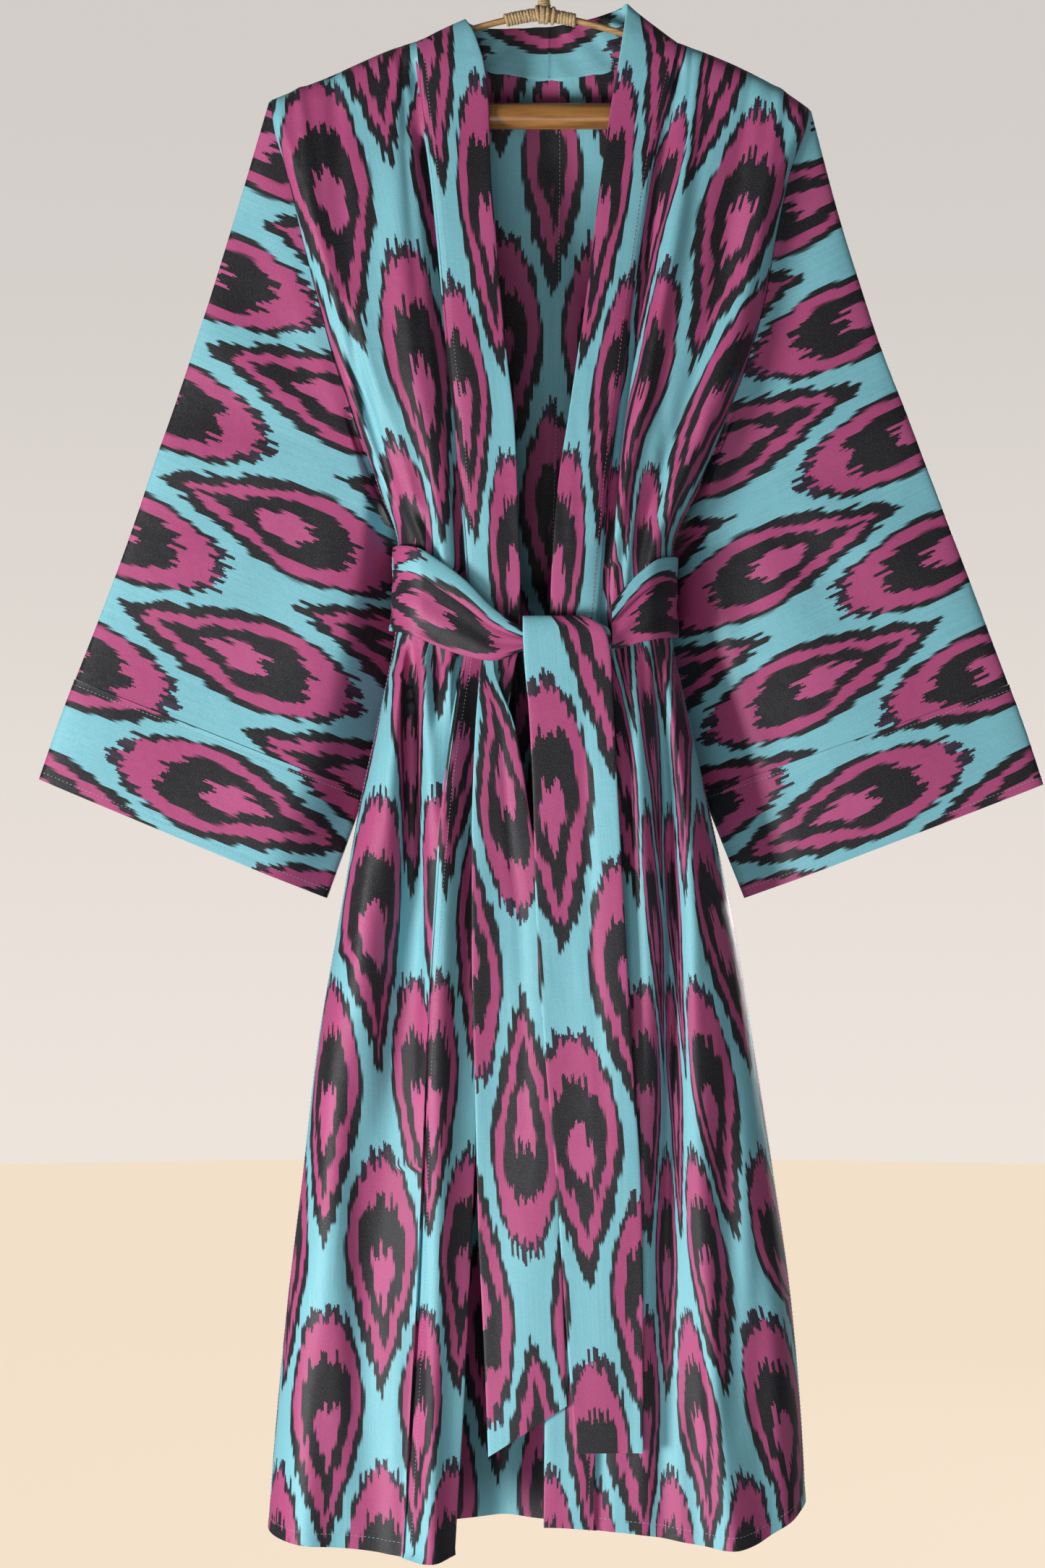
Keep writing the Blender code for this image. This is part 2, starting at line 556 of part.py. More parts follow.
def belt_back_point(across, along):
    """The belt round the back, from the left side at 0 to the right side at 1."""
    across, along = np.broadcast_arrays(np.asarray(across, float), np.asarray(along, float))
    belt = columns(BELT_COLUMNS, BELT_BACK)
    reach = []
    for hand, sign in (("left", -1.0), ("right", 1.0)):
        side_x = side_line(hand, BELT_LEVEL)
        side_drop = belt["top"](side_x) + across * (belt["bottom"](side_x) - belt["top"](side_x))
        reach.append(side_line(hand, side_drop) + sign * BELT_SIDE)
    left, right = reach
    turn = DEPTHS["turn"](BELT_LEVEL) + BELT_TURN_MORE
    split = BELT_BACK_SPLIT
    near_end = np.minimum(along, 1 - along)
    angle = np.clip(near_end / split, 0, 1) * np.pi / 2
    flat = (left + turn) + (right - left - 2 * turn) * np.clip((along - split) / (1 - 2 * split), 0, 1)
    x = np.where(along < split, left + turn * (1 - np.cos(angle)), flat)
    x = np.where(along > 1 - split, right - turn * (1 - np.cos(angle)), x)
    drop = belt["top"](x) + across * (belt["bottom"](x) - belt["top"](x))
    stand = DEPTHS["back"](drop) + BELT_BACK_STAND + BELT_PUFF * np.sin(np.pi * across)
    return x, stand * np.sin(angle) + SEAM_GAP / 2, drop


def tail_point(table, slant):
    """A hanging belt end: across from its left edge at 0, along from the knot at 0 to its end at 1."""
    first, last = table[0][0], table[-1][0]
    tail = columns(TAIL_COLUMNS, table)

    def point(across, along):
        across, along = np.broadcast_arrays(np.asarray(across, float), np.asarray(along, float))
        drop = first + (last - first) * along
        left, right = tail["left"](drop), tail["right"](drop)
        x = left + across * (right - left)
        y = tail["y"](drop) + TAIL_PUFF * np.sin(np.pi * across) * smooth(along, 0.1, 0.5)
        return x, y, drop - slant * across * along

    return point


def tail_over(across, along):
    """The front tail with the turn that lies over the knot: negative along is behind the turn."""
    across, along = np.broadcast_arrays(np.asarray(across, float), np.asarray(along, float))
    front = tail_point(TAIL_RIGHT, 0.0)
    x, y, drop = front(across, np.maximum(along, 0))
    back = np.clip(-along, 0, 1)
    y = y + TAIL_OVER[0] * np.sin(back * np.pi / 2)
    drop = drop + TAIL_OVER[1] * (1 - np.cos(back * np.pi / 2))
    return x, y, drop


def to_metres(x, y, drop):
    return np.stack([np.asarray(x) * 0.001, np.asarray(y) * 0.001, np.asarray(drop) * -0.001], -1)


def grid(point, first, second):
    """Points and unit normals of a surface over two lists of parameters."""
    a, b = np.meshgrid(np.asarray(first, float), np.asarray(second, float), indexing="ij")
    step_a = 1e-3 * (max(first) - min(first))
    step_b = 1e-3 * (max(second) - min(second))
    here = to_metres(*point(a, b))
    low_a, high_a = np.maximum(a - step_a, min(first)), np.minimum(a + step_a, max(first))
    low_b, high_b = np.maximum(b - step_b, min(second)), np.minimum(b + step_b, max(second))
    along_a = to_metres(*point(high_a, b)) - to_metres(*point(low_a, b))
    along_b = to_metres(*point(a, high_b)) - to_metres(*point(a, low_b))
    normal = np.cross(along_a, along_b)
    normal /= np.maximum(np.linalg.norm(normal, axis=-1, keepdims=True), 1e-12)
    return here, normal


def facet_normals(here, normal):
    """The normals with the inner ones taken from the facets round each point, so that a wall stays open at a fold."""
    cell = np.cross(here[1:, 1:] - here[:-1, :-1], here[:-1, 1:] - here[1:, :-1])
    cell /= np.maximum(np.linalg.norm(cell, axis=-1, keepdims=True), 1e-12)
    inner = cell[1:, 1:] + cell[:-1, 1:] + cell[1:, :-1] + cell[:-1, :-1]
    made = normal.copy()
    made[1:-1, 1:-1] = inner / np.linalg.norm(inner, axis=-1, keepdims=True)
    return made


def material(name, colour, roughness, metallic=0.0):
    made = bpy.data.materials.new(name)
    made.use_nodes = True
    shader = made.node_tree.nodes["Principled BSDF"]
    shader.inputs["Base Color"].default_value = (*colour, 1.0)
    shader.inputs["Roughness"].default_value = roughness
    shader.inputs["Metallic"].default_value = metallic
    made.diffuse_color = (*colour, 1.0)
    return made


def add_object(name, points, faces, finish):
    """A mesh object with its normals outwards."""
    mesh = bpy.data.meshes.new(name)
    mesh.from_pydata([tuple(p) for p in np.asarray(points)], [], faces)
    mesh.validate()
    corners = [(f[0], f[k], f[k + 1]) for f in faces for k in range(1, len(f) - 1)]
    tri = np.asarray(points)[np.array(corners)]
    if np.einsum("ij,ij->i", tri[:, 0], np.cross(tri[:, 1], tri[:, 2])).sum() < 0:
        mesh.flip_normals()
    mesh.materials.append(finish)
    mesh.shade_smooth()
    mesh.set_sharp_from_angle(angle=0.6)
    made = bpy.data.objects.new(name, mesh)
    bpy.context.scene.collection.objects.link(made)
    return made


def split_cell(middle, a, b, c, d):
    """Two triangles across the shorter diagonal, so that both faces of a wall turn alike."""
    if np.linalg.norm(middle[a] - middle[c]) <= np.linalg.norm(middle[b] - middle[d]):
        return (a, b, c), (a, c, d)
    return (a, b, d), (b, c, d)


def add_wall(name, here, normal, wall, finish, ring=False):
    """A closed wall of even thickness on a grid of points. ring joins the first column to the last."""
    rows, cols = here.shape[:2]
    half = wall * 0.0005
    points = np.concatenate([(here + normal * half).reshape(-1, 3), (here - normal * half).reshape(-1, 3)])
    size = rows * cols
    middle = here.reshape(-1, 3)
    faces = []
    across = cols if ring else cols - 1
    for i in range(rows - 1):
        for j in range(across):
            a, b = i * cols + j, i * cols + (j + 1) % cols
            c, d = (i + 1) * cols + (j + 1) % cols, (i + 1) * cols + j
            for corners in split_cell(middle, a, b, c, d):
                faces.append(corners)
                faces.append(tuple(size + k for k in reversed(corners)))
    for j in range(across):
        k = (j + 1) % cols
        faces.append((size + j, size + k, k, j))
        last = (rows - 1) * cols
        faces.append((last + j, last + k, size + last + k, size + last + j))
    if not ring:
        for i in range(rows - 1):
            a, b = i * cols, (i + 1) * cols
            faces.append((a, b, size + b, size + a))
            a, b = a + cols - 1, b + cols - 1
            faces.append((size + a, size + b, b, a))
    return add_object(name, points, faces, finish)


def add_sheet(name, point, first, second, wall, finish):
    here, normal = grid(point, first, second)
    return add_wall(name, here, facet_normals(here, normal), wall, finish)


def add_tube(name, point, turns, along, wall, finish):
    """A wall round a tube whose first parameter is an angle."""
    here, normal = grid(point, turns, along)
    here, normal = here.transpose(1, 0, 2), normal.transpose(1, 0, 2)
    return add_wall(name, here, normal, wall, finish, ring=True)


def add_rings(name, rings, finish):
    """A solid through closed rings of equal point counts, with flat ends."""
    rings = np.asarray(rings, float)
    count, around = rings.shape[:2]
    points = rings.reshape(-1, 3)
    faces = []
    for i in range(count - 1):
        for j in range(around):
            k = (j + 1) % around
            faces.append((i * around + j, i * around + k, (i + 1) * around + k, (i + 1) * around + j))
    faces.append(tuple(range(around))[::-1])
    faces.append(tuple((count - 1) * around + j for j in range(around)))
    return add_object(name, points, faces, finish)


def swept(path, radius, sides):
    """Rings of a round bar along a path of points in metres, with one radius for each point."""
    path = np.asarray(path, float)
    radius = np.broadcast_to(np.asarray(radius, float), (len(path),))
    tangent = np.gradient(path, axis=0)
    tangent /= np.linalg.norm(tangent, axis=1, keepdims=True)
    first = np.array([0.0, 1.0, 0.0])
    rings = []
    for place, ahead, r in zip(path, tangent, radius):
        first = first - ahead * np.dot(first, ahead)
        first /= np.linalg.norm(first)
        second = np.cross(ahead, first)
        angle = np.arange(sides) * 2 * np.pi / sides
        rings.append(place + r * (np.cos(angle)[:, None] * first + np.sin(angle)[:, None] * second))
    return rings


def strip_middle(x):
    """Centre of the bent strip, as x, y and drop."""
    x = np.asarray(x, float)
    drop = STRIP_TOP + STRIP_FALL * (np.abs(x) / STRIP_HALF) ** STRIP_POWER + STRIP_THICK / 2
    drop = drop + STRIP_SEAT * smooth(np.abs(x), STRIP_HALF - 18, STRIP_HALF)
    return x, 0 * x, drop


def strip_section(x, sides, grow=0.0):
    """A flattened round section of the strip at x, square to its run."""
    step = 0.5
    low, high = np.array(strip_middle(x - step)), np.array(strip_middle(x + step))
    ahead = (high - low) / np.linalg.norm(high - low)
    up = np.array([ahead[2], 0.0, -ahead[0]])
    angle = np.arange(sides) * 2 * np.pi / sides
    wide = (STRIP_WIDTH / 2 + grow) * np.cos(angle)
    tall = (STRIP_THICK / 2 + grow) * np.sin(angle)
    place = np.array(strip_middle(x)) + wide[:, None] * np.array([0, 1.0, 0]) + tall[:, None] * up
    return to_metres(place[:, 0], place[:, 1], place[:, 2])


def make_strip(finish):
    places = np.linspace(-STRIP_HALF, STRIP_HALF, 23)
    add_rings("hanger_strip", [strip_section(x, 10) for x in places], finish)


def make_dowel(finish):
    rings = []
    profile = (
        (-DOWEL_HALF, DOWEL_RADIUS - DOWEL_CHAMFER), (-DOWEL_HALF + DOWEL_CHAMFER, DOWEL_RADIUS),
        (DOWEL_HALF - DOWEL_CHAMFER, DOWEL_RADIUS), (DOWEL_HALF, DOWEL_RADIUS - DOWEL_CHAMFER),
    )
    angle = np.arange(20) * 2 * np.pi / 20
    for x, radius in profile:
        rings.append(to_metres(x + 0 * angle, radius * np.cos(angle), DOWEL_DROP + radius * np.sin(angle)))
    add_rings("hanger_dowel", rings, finish)


def make_wrap(finish):
    """Twine wound round the middle of the strip: one wall with a raised ring for each turn."""
    steps = WRAP_TURNS * 2 + 1
    places = np.linspace(-WRAP_HALF, WRAP_HALF, steps + 1)
    thick = WRAP_RADIUS - STRIP_THICK / 2
    outer = [
        strip_section(x, WRAP_AROUND, thick - (WRAP_GROOVE if i % 2 == 0 else 0.0))
        for i, x in enumerate(places)
    ]
    inner_places = np.linspace(-WRAP_HALF, WRAP_HALF, 9)
    inner = [strip_section(x, WRAP_AROUND, WRAP_CLEAR) for x in inner_places]
    rings = outer + inner[::-1]
    around = WRAP_AROUND
    points = np.concatenate(rings)
    faces = []
    count = len(rings)
    for i in range(count):
        for j in range(around):
            k = (j + 1) % around
            n = (i + 1) % count
            faces.append((i * around + j, i * around + k, n * around + k, n * around + j))
    add_object("hanger_wrap", points, faces, finish)


def make_hook(finish, base_finish):
    """A bent wire hook above a wound base. Its inner arc touches the origin."""
    radius = HOOK_INNER + HOOK_WIRE
    bottom = STRIP_TOP - WRAP_RADIUS + STRIP_THICK / 2 - SEAM_GAP
    arc = np.radians(np.linspace(*HOOK_ARC, 22))
    stem = [(HOOK_X, 0.0, bottom - BASE_HEIGHT - SEAM_GAP), (HOOK_X, 0.0, HOOK_STEM_TOP)]
    arc_x = radius * np.cos(arc)
    arc_drop = HOOK_INNER - radius * np.sin(arc)
    bow = [(x, 0.0, d) for x, d in zip(arc_x, arc_drop)]
    path = np.array(stem + bow, float)
    rings = swept(to_metres(path[:, 0], path[:, 1], path[:, 2]), HOOK_WIRE * 0.001, 8)
    add_rings("hanger_hook", rings, finish)
    profile = [(bottom - BASE_HEIGHT * share, BASE_RADIUS + more) for share, more in BASE_PROFILE]
    angle = np.arange(12) * 2 * np.pi / 12
    rings = [to_metres(HOOK_X + r * np.cos(angle), r * np.sin(angle), d + 0 * angle) for d, r in profile]
    add_rings("hanger_hook_base", rings, base_finish)


def make_knot(finish):
    """The bunched turn of the belt inside the knot."""
    rings = []
    for s in np.linspace(-1, 1, 11):
        scale = max(1 - abs(s) ** 3.2, 0.0) ** 0.5
        scale = 0.35 + 0.65 * scale
        angle = np.arange(12) * 2 * np.pi / 12
        x = KNOT_CENTRE[0] + KNOT_HALF[0] * s + 0 * angle
        y = KNOT_CENTRE[1] + KNOT_HALF[1] * scale * np.cos(angle)
        drop = KNOT_CENTRE[2] + KNOT_HALF[2] * scale * np.sin(angle)
        rings.append(to_metres(x, y, drop))
    add_rings("belt_knot", rings, finish)


def panel_columns(flat):
    near = np.linspace(0, PANEL_SPLIT, flat + 1)
    return np.concatenate([near, np.linspace(PANEL_SPLIT, 1, PANEL_TURN + 1)[1:]])


def back_columns(hand):
    """Columns of a back half, with one on the neck's corner and one just inside it."""
    sign = -1.0 if hand == "left" else 1.0
    corner_x = NECK_LINE[0][0] if hand == "left" else NECK_LINE[-1][0]
    inner = DEPTHS["centre_back"](SHOULDER_LEVEL)
    flat = side_line(hand, SHOULDER_LEVEL) - sign * DEPTHS["turn"](SHOULDER_LEVEL)
    corner = PANEL_SPLIT * (corner_x - inner) / (flat - inner)
    near = np.linspace(0, corner - NECK_STEP, BACK_FLAT // 2)
    far = np.linspace(corner, PANEL_SPLIT, BACK_FLAT // 2)
    return np.concatenate([near, far, np.linspace(PANEL_SPLIT, 1, PANEL_TURN + 1)[1:]])


def make_garment(cloth, belt_cloth):
    turns = np.arange(SLEEVE_AROUND) * 2 * np.pi / SLEEVE_AROUND
    for hand in ("left", "right"):
        add_sheet("front_" + hand, front_point(hand), panel_columns(PANEL_FLAT), LEVELS, CLOTH_WALL, cloth)
        add_sheet("back_" + hand, back_point(hand), back_columns(hand), LEVELS, CLOTH_WALL, cloth)
        join = (COLLAR_EDGE_LEFT if hand == "left" else COLLAR_EDGE_RIGHT)[0][2]
        along = [*COLLAR_ROWS, *[(level - join) / (HEM_LEVEL - join) for level in LEVELS if level > join]]
        across = np.linspace(0, 1, BAND_COLUMNS + 1)
        add_sheet("band_" + hand, band_point(hand), across, along, DOUBLE_WALL, cloth)
        sleeve = sleeve_point(hand)
        rows = np.linspace(0, SLEEVE_END, SLEEVE_ROWS + 1)
        add_tube("sleeve_" + hand, sleeve, turns, rows, CLOTH_WALL, cloth)
        rows = np.linspace(CUFF_START, 2, CUFF_ROWS + 1)
        add_tube("cuff_" + hand, sleeve, turns, rows, CLOTH_WALL, cloth)
        belt = belt_point(hand)
        across = np.linspace(0, 1, BELT_ACROSS + 1)
        add_sheet("belt_" + hand, belt, across, np.linspace(0, 1, BELT_ROWS + 1), DOUBLE_WALL, belt_cloth)
    along = np.linspace(0, 1, 2 * BELT_ROWS + 1)
    add_sheet("belt_back", belt_back_point, across, along, DOUBLE_WALL, belt_cloth)
    down = np.linspace(0, 1, TAIL_ROWS + 1)
    across = np.linspace(0, 1, TAIL_ACROSS + 1)
    over = np.concatenate([[-1.0, -0.66, -0.33], down])
    add_sheet("belt_tail_right", tail_over, across, over, DOUBLE_WALL, belt_cloth)
    add_sheet("belt_tail_left", tail_point(TAIL_LEFT, TAIL_SLANT), across, down, DOUBLE_WALL, belt_cloth)
    make_knot(belt_cloth)


def main():
    for old in list(bpy.data.objects):
        bpy.data.objects.remove(old, do_unlink=True)
    cloth = material("ikat_cotton", (0.19, 0.35, 0.36), 0.62)
    belt_cloth = material("ikat_belt", (0.44, 0.1, 0.26), 0.62)
    wood = material("varnished_wood", (0.42, 0.2, 0.06), 0.38)
    bamboo = material("split_bamboo", (0.48, 0.27, 0.09), 0.45)
    twine = material("wound_twine", (0.52, 0.36, 0.18), 0.85)
    steel = material("bent_steel", (0.6, 0.58, 0.54), 0.35, 1.0)
    make_garment(cloth, belt_cloth)
    make_dowel(wood)
    make_strip(bamboo)
    make_wrap(twine)
    make_hook(steel, twine)


main()
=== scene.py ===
"""Looks of the ikat caftan on its wooden hanger.

Like the part's source it works in millimetres: x to the right, y away from the viewer and drop
down from the top of the hook. The cloth lies on the solids' own form, with finer folds.
"""

import math

import bpy
import numpy as np
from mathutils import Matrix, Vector


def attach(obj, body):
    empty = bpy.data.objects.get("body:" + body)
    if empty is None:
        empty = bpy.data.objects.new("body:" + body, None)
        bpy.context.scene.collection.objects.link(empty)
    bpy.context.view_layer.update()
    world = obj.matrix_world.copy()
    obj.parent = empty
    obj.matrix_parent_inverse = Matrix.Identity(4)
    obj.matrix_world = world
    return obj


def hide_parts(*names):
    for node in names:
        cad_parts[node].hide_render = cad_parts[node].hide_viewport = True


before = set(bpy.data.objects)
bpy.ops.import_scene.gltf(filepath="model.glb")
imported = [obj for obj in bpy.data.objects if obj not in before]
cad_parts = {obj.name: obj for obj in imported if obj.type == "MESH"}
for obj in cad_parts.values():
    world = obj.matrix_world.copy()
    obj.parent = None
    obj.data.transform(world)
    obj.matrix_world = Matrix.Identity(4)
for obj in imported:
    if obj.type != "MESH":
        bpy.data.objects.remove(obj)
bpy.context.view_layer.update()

# Which way x runs from the middle.
SIGN = {"left": -1.0, "right": 1.0}

# The shown cloth, in millimetres: thickness of one layer, the doubled band and belt, and the band's
# height over the fronts at its free edge and at its seam.
SHOWN_WALL = 0.7
BAND_WALL = 1.5
BELT_WALL = 1.9
BAND_PROUD = 0.35
BAND_SEAM = -0.3
# Beside the band's seam: a valley's depth and width, and a soft ridge's height, place and width.
SEAM_DIP = 6.0
SEAM_DIP_WIDE = 3.2
SEAM_RIDGE = (1.8, 14, 6)
# The drops where that roll sets in and where it eases, the share it eases by, and the bar's clear width.
ROLL_START = (106, 122)
ROLL_EASE = (620, 760)
ROLL_LESS = 0.6
ROLL_BAR = 19
# How far the sleeve's seam allowance runs on behind the armhole, and how deep it turns in.
TUCK = ((3.2, 1.9), (1.6, 1.2), (0.5, 0.4))
# How far a band runs on past its seam and past the centre back, how far under the front and behind
# the other band, and how far a sleeve's inner fold passes the side seam, all in metres.
BAND_LAP = 0.0018
BAND_UNDER = 0.0006
CENTRE_LAP = 0.0022
CENTRE_BEHIND = 0.0009
SIDE_LAP = 0.0015
# The height of the hem's turn and the thickness that a turn adds to each side of hem and cuff.
HEM_TURN = 10.0
HEM_MORE = 0.35
CUFF_MORE = 0.25
CUFF_SEAM_MORE = 0.3
# How much shorter the right tail hangs than its solid.
TAIL_SHORTER = 13.0

# The share of the width that each rounded edge takes.
BAND_EDGE = 0.03
BELT_EDGE = 0.05
FLAP_EDGE = 0.1
TAIL_EDGE = 0.04

# Stitches by colour: pitch, length and thickness, in metres, and the threads' heights over the
# middle of their cloth, in millimetres.
STITCHES = {
    "pale": (0.0034, 0.0021, 0.00042),
    "dark": (0.003, 0.0011, 0.0006),
    "red": (0.0034, 0.0022, 0.0006),
}
HEM_THREAD = 0.5
CENTRE_THREAD = 0.4
BAND_THREAD = BAND_WALL / 2 + 0.1
CUFF_THREAD = 0.75
SIDE_THREAD = 0.45

# The twine's thickness in millimetres, its winds on the strip, at the hook and on the hook's base,
# and the points of one wind.
TWINE = 2.9
STRIP_WINDS = 23
HOOK_WINDS = 5
BASE_WINDS = 4
WIND_STEPS = 26

# The stage, in metres, and its lamps: place, size, power and colour.
FLOOR = -1.75
ROOM_WIDE = 7.0
WALL_TOP = 3.5
DOME_TOP = 5.5
LAMPS = {
    "window": ((-2.6, -1.9, -1.35), 0.9, 132.0, (1.0, 0.99, 0.98)),
    "front": ((-0.3, -1.9, -1.6), 1.0, 16.0, (0.97, 0.99, 1.0)),
    "side": ((1.9, -1.9, -1.4), 0.9, 7.0, (0.95, 0.98, 1.0)),
    "behind": ((1.4, 3.2, -0.2), 1.2, 90.0, (1.0, 0.99, 0.98)),
}
LAMPS_AIM = (0, 0, -0.65)
SENSOR_TALL = 24.0

# How the cloth rounds over its ridge, in millimetres.
RIDGE_ROUND = 7.0
RIDGE_POWER = 0.6

# Hanger, all in millimetres.
DOWEL_RADIUS = 10.5
DOWEL_HALF = 203.0
DOWEL_DROP = 153.0
STRIP_HALF = 198.0
STRIP_TOP = 69.0
STRIP_FALL = 67.5
STRIP_POWER = 1.35
STRIP_SEAT = 0.7
STRIP_WIDTH = 9.0
STRIP_THICK = 5.0
WRAP_HALF = 29.5
WRAP_RADIUS = 6.4
HOOK_WIRE = 1.7
HOOK_INNER = 20.0
HOOK_X = 3.0
HOOK_ARC = (-72, 205)
HOOK_STEM_TOP = 50.0
BASE_HEIGHT = 8.8

# Where the pieces start and end, as drops in millimetres.
SHOULDER_LEVEL = 95.0
SHOULDER_RUN = 240.0
HEM_LEVEL = 1290.0
HEM_START = 1000.0
HEM_POWER = 1.5
UNDERARM_DROP = 430.0

# The lines of both fronts, seen from the front, by drop.
FRONT_COLUMNS = ("drop", "side_left", "seam_left", "edge_left", "edge_right", "seam_right", "side_right")
FRONT_LINES = (
    (80, -215.4, -100.0, -57.0, 66.0, 112.0, 215.0),
    (110, -215.4, -97.5, -45.7, 62.7, 107.5, 215.0),
    (150, -214.6, -93.5, -41.0, 55.8, 98.5, 214.6),
    (200, -202.0, -86.5, -39.5, 49.0, 87.0, 199.0),
    (250, -190.0, -81.0, -35.5, 42.5, 79.5, 188.0),
    (300, -177.0, -76.7, -31.6, 36.5, 72.2, 179.0),
    (350, -163.5, -72.2, -26.5, 29.0, 66.0, 165.0),
    (400, -146.5, -66.0, -20.8, 21.5, 59.5, 146.5),
    (450, -129.0, -62.3, -18.4, 14.0, 54.0, 126.5),
    (500, -113.0, -58.5, -16.5, 9.8, 49.0, 106.0),
    (535, -113.0, -56.5, -15.8, 8.0, 46.0, 104.0),
    (571, -116.0, -57.0, -16.5, 7.0, 44.0, 105.5),
    (620, -125.5, -64.0, -24.0, 7.0, 45.0, 115.0),
    (700, -143.0, -75.0, -34.0, 7.0, 46.0, 133.0),
    (800, -161.0, -83.0, -42.0, 6.0, 46.0, 154.0),
    (900, -178.0, -89.0, -48.0, 6.0, 46.0, 170.5),
    (1000, -189.5, -93.0, -52.0, 5.0, 45.0, 186.0),
    (1100, -201.5, -97.5, -57.0, 4.0, 44.0, 200.0),
    (1200, -211.0, -103.0, -62.0, 3.0, 43.0, 208.5),
    (1300, -218.5, -108.0, -67.0, 2.0, 42.0, 213.5),
)

# How far the cloth stands before and behind the side seam, and how wide it turns.
DEPTH_COLUMNS = ("drop", "front", "back", "turn", "centre_back")
DEPTH_LINES = (
    (70, 12.5, 14.0, 8.0, 8.0),
    (150, 15.0, 16.0, 9.0, 9.0),
    (200, 21.0, 22.0, 13.0, 10.0),
    (300, 31.0, 30.0, 19.0, 10.0),
    (400, 39.0, 34.0, 22.0, 9.0),
    (500, 44.0, 36.0, 23.0, 8.0),
    (571, 46.0, 37.0, 24.0, 8.0),
    (700, 51.0, 43.0, 29.0, 7.0),
    (900, 54.0, 49.0, 33.0, 5.0),
    (1100, 57.0, 55.0, 36.0, 3.0),
    (1300, 60.0, 60.0, 38.0, 2.0),
)

# The ridge that the cloth makes over the hanger, from the left tip to the right one.
RIDGE_COLUMNS = ("x", "drop")
RIDGE_LINE = (
    (-216, 141.0), (-168, 121.5), (-116, 99.0), (-99, 93.5), (-70, 82.0), (0, 72.0),
    (70, 82.0), (111, 95.0), (168, 118.5), (196, 134.4), (216, 148.0),
)

# The hem, front and back, by x.
HEM_COLUMNS = ("x", "front", "back")
HEM_LINE = (
    (-220, 1280, 1280), (-150, 1287, 1284), (-84, 1294, 1287), (-66, 1289, 1287), (2, 1270, 1287),
    (60, 1274, 1284), (152, 1285, 1272), (214, 1259, 1259),
)

# The neck seam of the back, where the collar stands on it, by x.
NECK_COLUMNS = ("x", "drop")
NECK_TURN = 0.38
NECK_EASE = 0.05
CENTRE_GAP = 0.3
NECK_LINE = (
    (-98.8, 93.5), (-86, 101.0), (-44, 113.0), (9, 121.0), (61, 112.5), (96, 102.0), (109.8, 94.8),
)

# The free edge of the band, as x, y and drop, from the front of each neck side to the centre back.
COLLAR_EDGE = {
    "left": (
        (-45.7, -14.5, 109.0), (-53.0, -10.5, 88.0), (-59.0, -3.0, 77.0), (-56.0, 8.0, 77.5),
        (-44.0, 14.0, 79.5), (-22.0, 17.0, 79.0), (8.0, 17.5, 77.5),
    ),
    "right": (
        (62.7, -14.5, 111.0), (67.0, -11.0, 82.0), (69.0, -2.5, 64.0), (64.0, 9.0, 65.0),
        (50.0, 14.5, 69.0), (30.0, 17.0, 74.0), (8.0, 17.5, 77.5),
    ),
}

# Folds: each is a soft ridge (rise over 0) or trough along a line, with its width.
FOLD_COLUMNS = ("drop", "x", "rise", "width")
FOLDS_LEFT = (
    ((95, -106, 0, 6), (150, -99, -4, 7), (300, -83, -5, 7), (450, -68, -5, 6), (540, -61, -2, 5),
     (600, -61, 0, 5)),
    ((110, -124, 0, 14), (220, -112, 4, 14), (360, -97, 5, 12), (480, -76, 4, 8), (560, -72, 0, 7)),
    ((300, -160, 0, 6), (325, -152, -5, 6), (381, -139, -9, 7), (449, -118, -10, 6),
     (500, -99, -5, 5), (560, -96, 0, 5)),
    ((320, -148, 0, 6), (381, -130, 3, 6), (449, -110, 5, 6), (505, -91, 3, 5), (560, -90, 0, 5)),
    ((340, -146, 0, 6), (411, -120, -5, 5), (457, -107, -7, 5), (507, -84, -3, 5), (560, -83, 0, 5)),
    ((566, -110, 0, 6), (600, -113, 5, 8), (700, -128, 7, 14), (900, -160, 5, 22), (1290, -190, 4, 26)),
    ((566, -101, 0, 5), (600, -102, -9, 6), (717, -101, -18, 10), (820, -106, -16, 15),
     (1000, -124, -9, 20), (1290, -140, -5, 24)),
    ((566, -92, 0, 5), (600, -91, 6, 6), (680, -88, 5, 9), (760, -86, 0, 10)),
    ((566, -83, 0, 4), (600, -82, -6, 5), (660, -80, -3, 7), (720, -78, 0, 8)),
    ((566, -69, 0, 6), (610, -70, 8, 9), (717, -76, 13, 14), (900, -82, 16, 17),
     (1100, -82, 19, 19), (1290, -86, 22, 20)),
    ((566, -44, 0, 7), (620, -47, -4, 10), (720, -50, -4, 12), (1000, -58, 0, 12)),
)
